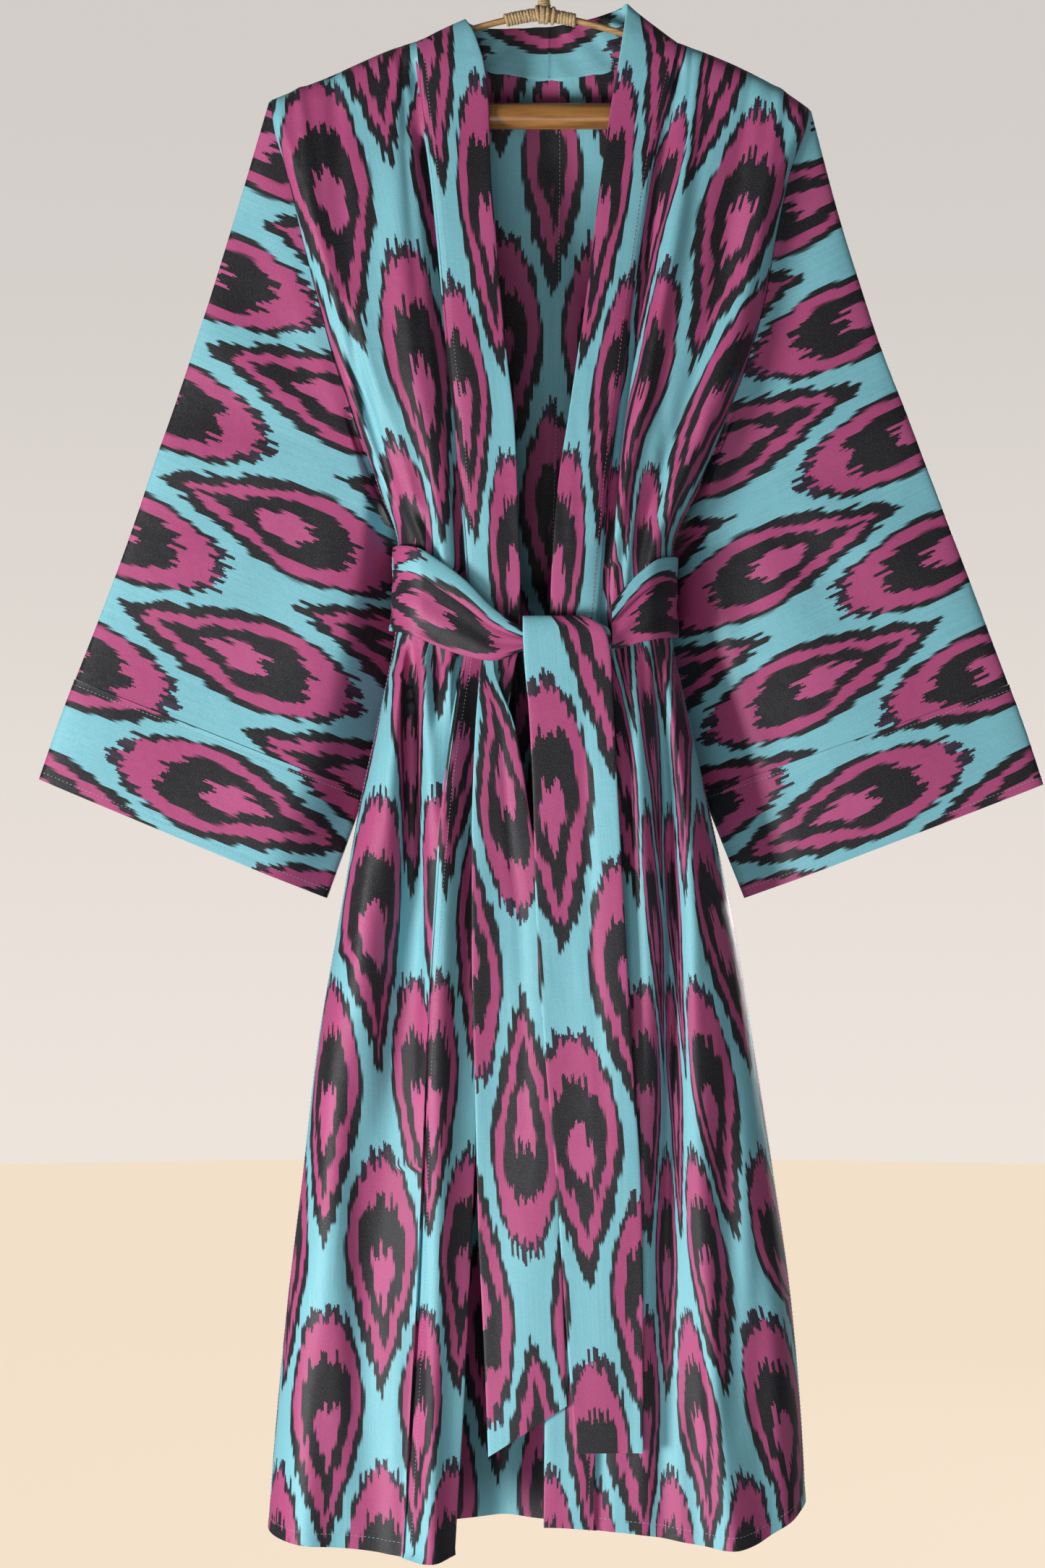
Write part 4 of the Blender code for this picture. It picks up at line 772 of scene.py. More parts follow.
def belt_point(hand):
    """The belt over one front: across is 0 at the upper edge, along runs from the knot to the side."""
    sign = SIGN[hand]
    belt = columns(BELT_COLUMNS, sorted(BELT_FRONT[hand]))
    knot_x = BELT_FRONT[hand][-1][0]

    def point(across, along):
        across, along = np.broadcast_arrays(np.asarray(across, float), np.asarray(along, float))
        turn = DEPTHS["turn"](BELT_LEVEL) + BELT_TURN_MORE
        flat = belt_reach(hand, belt, across) - sign * turn
        angle = np.clip((along - BELT_SPLIT) / (1 - BELT_SPLIT), 0, 1) * np.pi / 2
        straight = knot_x + (flat - knot_x) * along / BELT_SPLIT
        x = np.where(along < BELT_SPLIT, straight, flat + sign * turn * np.sin(angle))
        drop = belt["top"](x) + across * (belt["bottom"](x) - belt["top"](x))
        stand = DEPTHS["front"](drop) + belt["stand"](x) + BELT_PUFF * np.sin(np.pi * across)
        return x, -stand * np.cos(angle), drop

    return point


def belt_back_point(across, along):
    """The belt round the back, from the left side at 0 to the right side at 1."""
    across, along = np.broadcast_arrays(np.asarray(across, float), np.asarray(along, float))
    belt = columns(BELT_COLUMNS, BELT_BACK)
    left, right = (belt_reach(hand, belt, across) for hand in SIGN)
    turn = DEPTHS["turn"](BELT_LEVEL) + BELT_TURN_MORE
    split = BELT_BACK_SPLIT
    near_end = np.minimum(along, 1 - along)
    angle = np.clip(near_end / split, 0, 1) * np.pi / 2
    flat = (left + turn) + (right - left - 2 * turn) * np.clip((along - split) / (1 - 2 * split), 0, 1)
    x = np.where(along < split, left + turn * (1 - np.cos(angle)), flat)
    x = np.where(along > 1 - split, right - turn * (1 - np.cos(angle)), x)
    drop = belt["top"](x) + across * (belt["bottom"](x) - belt["top"](x))
    stand = DEPTHS["back"](drop) + BELT_BACK_STAND + BELT_PUFF * np.sin(np.pi * across)
    return x, stand * np.sin(angle), drop


def tail_point(table, slant):
    """A hanging belt end: across from its left edge at 0, along from the knot at 0 to its end at 1."""
    first, last = table[0][0], table[-1][0]
    tail = columns(TAIL_COLUMNS, table)

    def point(across, along):
        across, along = np.broadcast_arrays(np.asarray(across, float), np.asarray(along, float))
        drop = first + (last - first) * along
        left, right = tail["left"](drop), tail["right"](drop)
        x = left + across * (right - left)
        y = tail["y"](drop) + TAIL_PUFF * np.sin(np.pi * across) * smooth(along, 0.1, 0.5)
        return x, y, drop - slant * across * along

    return point


def tail_over(across, along):
    """The front tail with the turn that lies over the knot: negative along is behind the turn."""
    across, along = np.broadcast_arrays(np.asarray(across, float), np.asarray(along, float))
    front = tail_point(TAIL_RIGHT, 0.0)
    x, y, drop = front(across, np.maximum(along, 0))
    back = np.clip(-along, 0, 1)
    y = y + TAIL_OVER[0] * np.sin(back * np.pi / 2)
    drop = drop + TAIL_OVER[1] * (1 - np.cos(back * np.pi / 2))
    return x, y, drop


def to_metres(x, y, drop):
    """Points of the scene, in metres with z up."""
    return np.stack([np.asarray(x) * 0.001, np.asarray(y) * 0.001, np.asarray(drop) * -0.001], -1)


def millimetres(here):
    """The x, y and drop of points of the scene."""
    return here[..., 0] * 1000, here[..., 1] * 1000, here[..., 2] * -1000


def unit(way):
    """Directions of length 1."""
    return way / np.linalg.norm(way, axis=-1, keepdims=True)


def grid(point, first, second):
    """Points and unit normals of a surface over two lists of parameters."""
    a, b = np.meshgrid(np.asarray(first, float), np.asarray(second, float), indexing="ij")
    step_a = 1e-3 * (max(first) - min(first))
    step_b = 1e-3 * (max(second) - min(second))
    here = to_metres(*point(a, b))
    low_a, high_a = np.maximum(a - step_a, min(first)), np.minimum(a + step_a, max(first))
    low_b, high_b = np.maximum(b - step_b, min(second)), np.minimum(b + step_b, max(second))
    along_a = to_metres(*point(high_a, b)) - to_metres(*point(low_a, b))
    along_b = to_metres(*point(a, high_b)) - to_metres(*point(a, low_b))
    normal = np.cross(along_a, along_b)
    normal /= np.maximum(np.linalg.norm(normal, axis=-1, keepdims=True), 1e-12)
    return here, normal


def swept(path, radius, sides):
    """Rings of a round bar along a path of points, all in metres."""
    angle = np.arange(sides) * 2 * np.pi / sides
    first = np.array([0.0, 1.0, 0.0])
    rings = []
    for place, ahead in zip(path, unit(np.gradient(path, axis=0))):
        first = unit(first - ahead * np.dot(first, ahead))
        second = np.cross(ahead, first)
        rings.append(place + radius * (np.cos(angle)[:, None] * first + np.sin(angle)[:, None] * second))
    return rings


def strip_middle(x):
    """Centre of the bent strip, as x, y and drop."""
    x = np.asarray(x, float)
    drop = STRIP_TOP + STRIP_FALL * (np.abs(x) / STRIP_HALF) ** STRIP_POWER + STRIP_THICK / 2
    drop = drop + STRIP_SEAT * smooth(np.abs(x), STRIP_HALF - 18, STRIP_HALF)
    return x, 0 * x, drop


def strip_section(x, sides, grow=0.0):
    """A flattened round section of the strip at x, square to its run."""
    step = 0.5
    low, high = np.array(strip_middle(x - step)), np.array(strip_middle(x + step))
    ahead = (high - low) / np.linalg.norm(high - low)
    up = np.array([ahead[2], 0.0, -ahead[0]])
    angle = np.arange(sides) * 2 * np.pi / sides
    wide = (STRIP_WIDTH / 2 + grow) * np.cos(angle)
    tall = (STRIP_THICK / 2 + grow) * np.sin(angle)
    place = np.array(strip_middle(x)) + wide[:, None] * np.array([0, 1.0, 0]) + tall[:, None] * up
    return to_metres(place[:, 0], place[:, 1], place[:, 2])


# Cloth on the body's own folds

def ripple(seed, count, across, down):
    """Soft uneven waves of unit height over x and drop; across and down are their usual lengths."""
    rng = np.random.default_rng(seed)
    waves = [
        (
            2 * np.pi / (across * rng.uniform(0.7, 1.6)),
            2 * np.pi / (down * rng.uniform(0.7, 1.6)) * rng.choice([-1, 1]),
            rng.uniform(0, 6.28),
            rng.uniform(0.5, 1.0),
        )
        for _ in range(count)
    ]
    whole = sum(w[3] for w in waves) * 0.6

    def read(x, drop):
        return sum(h * np.sin(kx * x + kd * drop + p) for kx, kd, p, h in waves) / whole

    return read


SOFT_WAVES = {
    "left": ripple(3, 7, 46, 260), "right": ripple(5, 7, 50, 240), "back": ripple(8, 7, 60, 300),
}
BELT_GATHERS = {
    "left": ripple(13, 5, 17, 400), "right": ripple(15, 5, 16, 380), "back": ripple(18, 5, 20, 400),
}
SKIRT_WAVES = {
    "left": ripple(23, 5, 34, 700), "right": ripple(25, 5, 30, 700), "back": ripple(28, 5, 42, 800),
}


def fine_folds(which, x, drop):
    """The small creases that only the cloth itself shows, in millimetres outwards."""
    near_belt = np.exp(-np.abs(drop - BELT_LEVEL) / np.where(drop > BELT_LEVEL, 95.0, 70.0))
    soft = 0.7 * SOFT_WAVES[which](x, drop) * smooth(drop, 120, 260)
    gathers = 2.1 * BELT_GATHERS[which](x, drop) * near_belt * smooth(np.abs(drop - BELT_LEVEL), 24, 52)
    skirt = 1.5 * SKIRT_WAVES[which](x, drop) * smooth(drop, 640, 900)
    return soft + gathers + skirt + folded(FINE_FOLDS[which], x, drop)


def arc_lengths(points):
    """Length along the first index of a line or a grid of points, in millimetres."""
    step = np.linalg.norm(np.diff(points, axis=0), axis=-1) * 1000
    return np.concatenate([np.zeros_like(step[:1]), np.cumsum(step, axis=0)])


def seen(value, y, camera_value):
    """Where the camera sees a place on the hanger's plane, in millimetres."""
    return (value - camera_value) * CAMERA_AWAY / (CAMERA_AWAY + y) + camera_value


def warp_places(here, lines, rows, sign):
    """Repeats of the pattern across a panel, held to the warp lines where the camera sees them.

    lines is a table of drop and the seen x of each half repeat; rows gives its half repeats.
    """
    x, y, drop = millimetres(here)
    length = arc_lengths(here)
    sx, sd = seen(x, y, CAMERA_X), seen(drop, y, CAMERA_DROP)
    reads = [through(lines, i + 1) for i in range(len(rows))]
    made = np.zeros_like(x)
    for j in range(x.shape[1]):
        at = np.maximum.accumulate(sign * sx[:, j])
        at = at + np.arange(len(at)) * 1e-6
        along = length[:, j]
        level = float(np.median(sd[:, j]))
        anchors = []
        for read, row in zip(reads, rows):
            want = sign * float(read(level))
            place = np.interp(want, at, along)
            if want < at[0]:
                place = want - at[0]
            if want > at[-1]:
                place = along[-1] + want - at[-1]
            anchors.append((place, row / 2))
        anchors.sort()
        a = np.array(anchors)
        keep = np.concatenate([[True], np.diff(a[:, 0]) > 4])
        a = a[keep]
        turn = 1 if a[-1, 1] > a[0, 1] else -1
        before = np.array([[a[0, 0] - 400, a[0, 1] - turn * 400 / REPEAT]])
        after = np.array([[a[-1, 0] + 400, a[-1, 1] + turn * 400 / REPEAT]])
        a = np.concatenate([before, a, after])
        made[:, j] = np.interp(along, a[:, 0], a[:, 1])
    return made


def panel_uv(which, hand, here):
    """The pattern's place on a panel: repeats across the cloth and repeats down it."""
    _, y, drop = millimetres(here)
    if which == "back":
        across = (arc_lengths(here) + BACK_CENTRE) / REPEAT
        if hand == "right":
            across = -across
        return np.stack([across, (drop - BACK_TOP) / PITCH], -1)
    lines, rows, tops, sign = WARP[hand]
    across = warp_places(here, lines, rows, sign)
    down = through(tops, 1)(seen(drop, y, CAMERA_DROP))
    return np.stack([across, down], -1)


def band_uv(hand, here, across, along):
    """The pattern's place on a band, whose warp runs along it."""
    _, y, drop = millimetres(here)
    first, spread, tops = BAND_WARP[hand]
    down = through(tops, 1)(seen(drop, y, CAMERA_DROP))
    middle = len(across) // 2
    run = arc_lengths(here[middle])
    join = np.interp(0.0, along, run)
    start = float(np.interp(0.0, along, down[middle]))
    round_neck = np.clip((join - run) / join, 0, 1)[None, :]
    top, middle_row, middle_spread = COLLAR_WARP
    neck = start + (top - start) * round_neck
    share = smooth(along, -0.06, 0.02)[None, :]
    bend = smooth(-along, 0.1, 0.6)[None, :]
    row = (first + (middle_row - first) * bend - across[:, None]) / (spread + (middle_spread - spread) * bend)
    return np.stack([row, neck * (1 - share) + down * share], -1)


def sleeve_uv(hand, here, cuff):
    """The pattern's place on a sleeve or its cuff, whose warp runs across the arm."""
    x, y, drop = millimetres(here)
    front = np.minimum(y, 0)
    px = seen(x, front, CAMERA_X) / SCALE + PHOTO_X
    py = (seen(drop, front, CAMERA_DROP) - PHOTO_TOP) / SCALE
    (wx, wy), (nx, ny), first, tops, cuff_first, cuff_top, way = SLEEVE_WARP[hand]
    run, side = wx * px + wy * py, nx * px + ny * py
    if cuff:
        return np.stack([(side - cuff_first) / (2 * first[1]), way * (run - cuff_top) / PITCH_PX], -1)
    top = through(tops, 1)(side)
    return np.stack([(side - first[0]) / (2 * first[1]), -way * (run - top) / PITCH_PX], -1)


# Meshes

def mesh_piece(name, points, faces, finish, uv=None):
    """A mesh object with smooth faces that point outwards, and the pattern's map where it has one."""
    mesh = bpy.data.meshes.new(name)
    mesh.from_pydata(np.asarray(points, float).tolist(), [], faces)
    mesh.materials.append(finish)
    mesh.shade_smooth()
    if uv is not None:
        loops = np.empty(len(mesh.loops), np.int32)
        mesh.loops.foreach_get("vertex_index", loops)
        layer = mesh.uv_layers.new(name="cloth")
        layer.data.foreach_set("uv", np.asarray(uv, np.float32)[loops].ravel())
    mesh.set_sharp_from_angle(angle=1.0)
    made = bpy.data.objects.new(name, mesh)
    bpy.context.scene.collection.objects.link(made)
    return made


def shell(name, here, normal, half, uv, finish, ring=False):
    """A closed thin wall on a grid of points, with half its thickness at each point in millimetres."""
    rows, cols = here.shape[:2]
    off = normal * (half * 0.001)[..., None]
    points = np.concatenate([(here + off).reshape(-1, 3), (here - off).reshape(-1, 3)])
    size = rows * cols
    across = cols if ring else cols - 1
    i, j = np.meshgrid(np.arange(rows - 1), np.arange(across), indexing="ij")
    i, j = i.ravel(), j.ravel()
    k = (j + 1) % cols
    a, b, c, d = i * cols + j, i * cols + k, (i + 1) * cols + k, (i + 1) * cols + j
    faces = [np.stack([a, b, c, d], 1), np.stack([d, c, b, a], 1) + size]
    j = np.arange(across)
    k = (j + 1) % cols
    last = (rows - 1) * cols
    faces.append(np.stack([size + j, size + k, k, j], 1))
    faces.append(np.stack([last + j, last + k, size + last + k, size + last + j], 1))
    if not ring:
        i = np.arange(rows - 1)
        a, b = i * cols, (i + 1) * cols
        faces.append(np.stack([a, b, size + b, size + a], 1))
        a, b = a + cols - 1, b + cols - 1
        faces.append(np.stack([size + a, size + b, b, a], 1))
    faces = np.concatenate(faces)
    quad = points[faces]
    volume = np.einsum("ij,ij->i", quad[:, 0], np.cross(quad[:, 1], quad[:, 2])).sum()
    volume += np.einsum("ij,ij->i", quad[:, 0], np.cross(quad[:, 2], quad[:, 3])).sum()
    if volume < 0:
        faces = faces[:, ::-1]
    return mesh_piece(name, points, faces.tolist(), finish, np.concatenate([uv.reshape(-1, 2)] * 2))


def rings_piece(name, rings, finish, uv=None):
    """A solid through closed rings of equal point counts, with flat ends."""
    rings = np.asarray(rings, float)
    count, around = rings.shape[:2]
    faces = []
    for i in range(0, (count - 1) * around, around):
        for j in range(around):
            k = (j + 1) % around
            faces.append((i + j, i + k, i + around + k, i + around + j))
    faces.append(tuple(range(around))[::-1])
    faces.append(tuple((count - 1) * around + j for j in range(around)))
    points = rings.reshape(-1, 3)
    a, b, c = (points[[face[corner] for face in faces[:-2]]] for corner in range(3))
    if np.einsum("ij,ij->i", (a + b + c) / 3 - points.mean(0), np.cross(b - a, c - a)).sum() < 0:
        faces = [face[::-1] for face in faces]
    return mesh_piece(name, points, faces, finish, None if uv is None else np.asarray(uv).reshape(-1, 2))


def near_edges(count, fine):
    """Places from 0 to 1 that lie closer near both ends, for rounded edges that each take the share fine."""
    start = fine * np.array([0.0, 0.06, 0.2, 0.45])
    return np.concatenate([start, np.linspace(fine, 1 - fine, count), 1 - start[::-1]])


def edge_round(places, fine, wall):
    """Half thickness across a strip with rounded edges, in millimetres."""
    near = np.clip(np.minimum(places, 1 - places) / fine, 0, 1)
    return wall / 2 * np.sqrt(np.maximum(1 - (1 - near) ** 2, 0.02))


# Materials

class Wires:
    """One material, with short ways to add its nodes."""

    def __init__(self, name, roughness=0.6, sheen=0.0):
        self.made = bpy.data.materials.new(name)
        self.made.use_nodes = True
        self.tree = self.made.node_tree
        self.shader = self.tree.nodes["Principled BSDF"]
        self.shader.inputs["Roughness"].default_value = roughness
        self.shader.inputs["Sheen Weight"].default_value = sheen
        self.shader.inputs["Sheen Roughness"].default_value = 0.5
        self.shader.inputs["Specular IOR Level"].default_value = 0.3

    def add(self, kind, **settings):
        """A node with its settings."""
        node = self.tree.nodes.new(kind)
        for key, value in settings.items():
            setattr(node, key, value)
        return node

    def put(self, socket, value):
        """Links or sets one input."""
        if isinstance(value, bpy.types.NodeSocket):
            self.tree.links.new(value, socket)
        else:
            socket.default_value = value

    def math(self, kind, a, b=0.0, c=0.0, clamp=False):
        node = self.add("ShaderNodeMath", operation=kind, use_clamp=clamp)
        for socket, value in zip(node.inputs, (a, b, c)):
            self.put(socket, value)
        return node.outputs[0]

    def times(self, a, b):
        return self.math("MULTIPLY", a, b)

    def plus(self, a, b):
        return self.math("ADD", a, b)

    def minus(self, a, b):
        return self.math("SUBTRACT", a, b)

    def curve(self, value, points):
        """A smooth curve through points, from 0 to 1 both ways."""
        node = self.add("ShaderNodeFloatCurve")
        line = node.mapping.curves[0]
        line.points[0].location = points[0]
        line.points[1].location = points[-1]
        for point in points[1:-1]:
            line.points.new(*point)
        node.mapping.update()
        self.put(node.inputs["Value"], value)
        return node.outputs[0]

    def step(self, value, low, high):
        """0 below low, 1 above high and a smooth step between them."""
        node = self.add("ShaderNodeMapRange", interpolation_type="SMOOTHSTEP")
        self.put(node.inputs["Value"], value)
        node.inputs["From Min"].default_value = low
        node.inputs["From Max"].default_value = high
        return node.outputs[0]

    def mix(self, share, a, b, blend="MIX"):
        """From colour a at share 0 to colour b at 1."""
        node = self.add("ShaderNodeMix", data_type="RGBA", blend_type=blend)
        self.put(node.inputs["Factor"], share)
        self.put(node.inputs[6], a)
        self.put(node.inputs[7], b)
        return node.outputs[2]

    def pick(self, share, a, b):
        """From number a at share 0 to number b at 1."""
        node = self.add("ShaderNodeMix", data_type="FLOAT")
        self.put(node.inputs["Factor"], share)
        self.put(node.inputs[2], a)
        self.put(node.inputs[3], b)
        return node.outputs[0]

    def vector(self, x, y, z=0.0):
        node = self.add("ShaderNodeCombineXYZ")
        for socket, value in zip(node.inputs, (x, y, z)):
            self.put(socket, value)
        return node.outputs[0]

    def chance(self, place):
        """A random number from 0 to 1 for each place."""
        node = self.add("ShaderNodeTexWhiteNoise", noise_dimensions="3D")
        self.put(node.inputs["Vector"], place)
        return node.outputs["Value"]

    def noise(self, place, scale, detail=2.0, rough=0.5):
        """Soft noise from 0 to 1."""
        node = self.add("ShaderNodeTexNoise")
        self.put(node.inputs["Vector"], place)
        node.inputs["Scale"].default_value = scale
        node.inputs["Detail"].default_value = detail
        node.inputs["Roughness"].default_value = rough
        return node.outputs["Fac"]

    def place(self, scale=(1, 1, 1)):
        """The object's own coordinates, scaled."""
        coordinates = self.add("ShaderNodeTexCoord")
        mapping = self.add("ShaderNodeMapping")
        self.put(mapping.inputs["Vector"], coordinates.outputs["Object"])
        mapping.inputs["Scale"].default_value = scale
        return mapping.outputs[0]

    def bump(self, height, strength, distance, under=None):
        """A normal from a height, over another normal."""
        node = self.add("ShaderNodeBump")
        node.inputs["Strength"].default_value = strength
        node.inputs["Distance"].default_value = distance
        self.put(node.inputs["Height"], height)
        if under is not None:
            self.put(node.inputs["Normal"], under)
        return node.outputs[0]

    def finish(self, colour, normal=None, roughness=None):
        """Puts the results on the shader and gives the material."""
        self.put(self.shader.inputs["Base Color"], colour)
        if normal is not None:
            self.put(self.shader.inputs["Normal"], normal)
        if roughness is not None:
            self.put(self.shader.inputs["Roughness"], roughness)
        return self.made


def colour(text):
    """A colour as the screen shows it, in the scene's own linear values."""
    parts = [int(text[k:k + 2], 16) / 255 for k in (0, 2, 4)]
    return (*[c / 12.92 if c <= 0.04045 else ((c + 0.055) / 1.055) ** 2.4 for c in parts], 1.0)


# A drop's share of the pitch, the free share above its top, and what its widths are shares of, in
# millimetres.
DROP_TALL = 0.8
DROP_LEAD = 0.1
DROP_WIDE = 43.5
# Half widths of a drop's layers, from its round top at 0 to its tip at 1.
OUTLINE = (
    (0, 0), (0.02, 0.24), (0.06, 0.44), (0.12, 0.58), (0.2, 0.69), (0.3, 0.79), (0.4, 0.86), (0.52, 0.8),
    (0.63, 0.68), (0.735, 0.51), (0.84, 0.335), (0.92, 0.18), (1, 0),
)
RING = (
    (0, 0), (0.045, 0), (0.06, 0.17), (0.1, 0.36), (0.16, 0.53), (0.24, 0.66), (0.32, 0.735), (0.4, 0.755),
    (0.52, 0.63), (0.63, 0.49), (0.735, 0.32), (0.84, 0.16), (0.93, 0), (1, 0),
)
HEART = (
    (0, 0), (0.205, 0), (0.22, 0.22), (0.245, 0.36), (0.29, 0.47), (0.345, 0.53), (0.41, 0.545), (0.5, 0.49),
    (0.6, 0.33), (0.7, 0.18), (0.8, 0.06), (0.85, 0), (1, 0),
)
CORE = (
    (0, 0), (0.4, 0), (0.41, 0.14), (0.43, 0.25), (0.46, 0.285), (0.51, 0.25), (0.57, 0.17), (0.63, 0.06),
    (0.66, 0), (1, 0),
)
# Each layer: its curve, its colour, and how far its thread bundles and single threads run out of line.
LAYERS = (
    (OUTLINE, "110F13", 16.0, 4.0),
    (RING, "AB4475", 13.0, 4.0),
    (HEART, "100D11", 17.0, 4.5),
    (CORE, "B34D7E", 19.0, 5.0),
)
# The width of a bundle of threads that is dyed as one, of a single thread, and of the weave's wave.
BUNDLE = 2.6
THREAD = 0.87
WEAVE = 0.62


def ikat_cloth(name):
    """Plain cotton whose warp was dyed before weaving: rows of drops with ragged edges along the warp."""
    w = Wires(name, 0.48, 0.04)
    w.shader.inputs["Specular IOR Level"].default_value = 0.36
    uv = w.add("ShaderNodeUVMap", uv_map="cloth").outputs[0]
    split = w.add("ShaderNodeSeparateXYZ")
    w.put(split.inputs[0], uv)
    u, v = split.outputs[0], split.outputs[1]
    across = w.times(u, REPEAT)
    bundle = w.math("FLOOR", w.math("DIVIDE", across, BUNDLE))
    thread = w.math("FLOOR", w.math("DIVIDE", across, THREAD))
    middle = w.times(w.plus(bundle, 0.5), BUNDLE)
    fine = w.times(w.plus(thread, 0.5), THREAD)
    stepped = w.pick(0.2, middle, fine)
    side_a = w.math("PINGPONG", stepped, REPEAT / 2)
    side_b = w.minus(REPEAT / 2, side_a)
    rows = []
    for shift in (0.0, 0.5):
        moved = w.plus(v, shift + DROP_LEAD)
        row = w.plus(w.math("FLOOR", moved), shift * 37)
        down = w.math("DIVIDE", w.minus(w.math("FRACT", moved), DROP_LEAD), DROP_TALL)
        rows.append((row, down))
    room = [
        w.minus(w.times(w.curve(down, OUTLINE), DROP_WIDE), side)
        for (row, down), side in zip(rows, (side_a, side_b))
    ]
    second = w.math("LESS_THAN", room[0], room[1])
    side = w.pick(second, side_a, side_b)
    down = w.pick(second, rows[0][1], rows[1][1])
    row = w.pick(second, rows[0][0], rows[1][0])

    def uneven(wide, tall, layer, detail, rough):
        """Unevenness that runs along the threads."""
        return w.noise(w.vector(w.times(across, wide), w.times(v, tall), layer), 1.0, detail, rough)

    fill = uneven(0.9, 3.0, 0.0, 3.0, 0.6)
    made = w.mix(w.step(fill, 0.3, 0.75), colour("76B7C3"), colour("80C1CB"))
    tall = DROP_TALL * PITCH
    for number, (points, tint, coarse, single) in enumerate(LAYERS):
        loose = w.minus(w.chance(w.vector(bundle, row, number + 0.5)), 0.5)
        lone = w.minus(w.chance(w.vector(thread, row, number + 7.5)), 0.5)
        run = w.plus(w.times(loose, coarse / tall), w.times(lone, single / tall))
        at = w.math("ADD", down, run, clamp=True)
        wide = w.times(w.curve(at, points), DROP_WIDE)
        edge = w.step(w.minus(wide, side), 0.1, 1.7)
        dye = colour(tint)
        if number == 0:
            mixed = w.times(w.chance(w.vector(bundle, row, 21.5)), 0.45)
            dye = w.mix(w.times(w.step(down, 0.16, 0.04), mixed), dye, colour("4B3553"))
        made = w.mix(edge, made, dye)
    streak = uneven(2.3, 5.0, 3.0, 2.0, 0.7)
    streak = w.mix(w.step(streak, 0.3, 0.7), colour("30282C"), colour("FFFFFF"))
    made = w.mix(0.07, made, streak, "SOFT_LIGHT")
    mottle = uneven(1.5, 250.0, 1.0, 2.0, 0.75)
    # Pale specks: partly the grey weft that shows between the warp threads, partly painted glints of the
    # weave's sheen.
    made = w.mix(w.times(w.step(mottle, 0.54, 0.72), 0.27), made, colour("9C9CAA"))
    made = w.mix(w.times(w.step(mottle, 0.48, 0.3), 0.36), made, colour("1E161C"))
    weave = w.times(
        w.math("SINE", w.times(across, 2 * math.pi / WEAVE)),
        w.math("SINE", w.times(v, 2 * math.pi * PITCH / WEAVE)),
    )
    crush = w.noise(w.place(), 30.0, 3.0, 0.55)
    fine_crush = w.noise(w.place(), 140.0, 2.0, 0.5)
    normal = w.bump(crush, 0.55, 0.0022)
    normal = w.bump(fine_crush, 0.35, 0.0005, normal)
    normal = w.bump(weave, 0.3, 0.0001, normal)
    normal = w.bump(mottle, 0.35, 0.00012, normal)
    return w.finish(made, normal)


def wood(name, dark, light, roughness, along, across):
    """Varnished or oiled wood with grain along x."""
    w = Wires(name, roughness)
    grain = w.noise(w.place((along, across, across)), 1.0, 6.0, 0.6)
    pores = w.noise(w.place((along * 3, across * 5, across * 5)), 1.0, 2.0, 0.5)
    made = w.mix(w.step(grain, 0.32, 0.68), colour(dark), colour(light))
    made = w.mix(w.times(w.step(pores, 0.62, 0.75), 0.4), made, colour(dark))
    rough = w.plus(w.times(grain, 0.18), roughness - 0.09)
    w.shader.inputs["Coat Weight"].default_value = 0.25
    w.shader.inputs["Coat Roughness"].default_value = 0.25
    return w.finish(made, w.bump(grain, 0.25, 0.0003), rough)


def fibre(name, dark, light):
    """Twisted natural twine or sewing thread."""
    w = Wires(name, 0.85, 0.2)
    fuzz = w.noise(w.place((900, 900, 900)), 1.0, 3.0, 0.6)
    patch = w.noise(w.place((60, 60, 60)), 1.0, 2.0, 0.5)
    made = w.mix(w.step(fuzz, 0.3, 0.7), colour(dark), colour(light))
    made = w.mix(w.times(patch, 0.3), made, colour(dark))
    return w.finish(made, w.bump(fuzz, 0.5, 0.0003))


def steel(name):
    """Plain bent wire, drawn along its length."""
    w = Wires(name, 0.32)
    w.shader.inputs["Metallic"].default_value = 1.0
    drawn = w.noise(w.place((40, 900, 40)), 1.0, 3.0, 0.5)
    made = w.mix(drawn, colour("8E8A84"), colour("B9B6B0"))
    rough = w.plus(w.times(drawn, 0.2), 0.22)
    return w.finish(made, w.bump(drawn, 0.1, 0.0001), rough)


def backdrop(name, low, high):
    """Even pale paint that gives its own light, changing softly with height."""
    w = Wires(name, 1.0)
    split = w.add("ShaderNodeSeparateXYZ")
    w.put(split.inputs[0], w.place())
    tint = w.mix(w.step(split.outputs[2], -2.0, 1.5), colour(low), colour(high))
    w.put(w.shader.inputs["Emission Color"], tint)
    w.shader.inputs["Emission Strength"].default_value = 1.0
    return w.finish(colour("000000"))


# Stitches and twine, by Geometry Nodes

def line_object(name, lines):
    """Open lines of points in metres, as loose edges."""
    points, edges = [], []
    for line in lines:
        start = len(points)
        points += [tuple(p) for p in line]
        edges += [(start + k, start + k + 1) for k in range(len(line) - 1)]
    mesh = bpy.data.meshes.new(name)
    mesh.from_pydata(points, edges, [])
    made = bpy.data.objects.new(name, mesh)
    bpy.context.scene.collection.objects.link(made)
    return made


def run_tree(made, tree, values):
    """Gives an object a geometry tree with its values, then keeps its result as a plain mesh."""
    modifier = made.modifiers.new("nodes", "NODES")
    modifier.node_group = tree
    for key, value in values.items():
        modifier[key] = value
    bpy.context.view_layer.update()
    graph = bpy.context.evaluated_depsgraph_get()
    mesh = bpy.data.meshes.new_from_object(made.evaluated_get(graph))
    made.modifiers.clear()
    made.data = mesh
    made.data.name = made.name
    return made


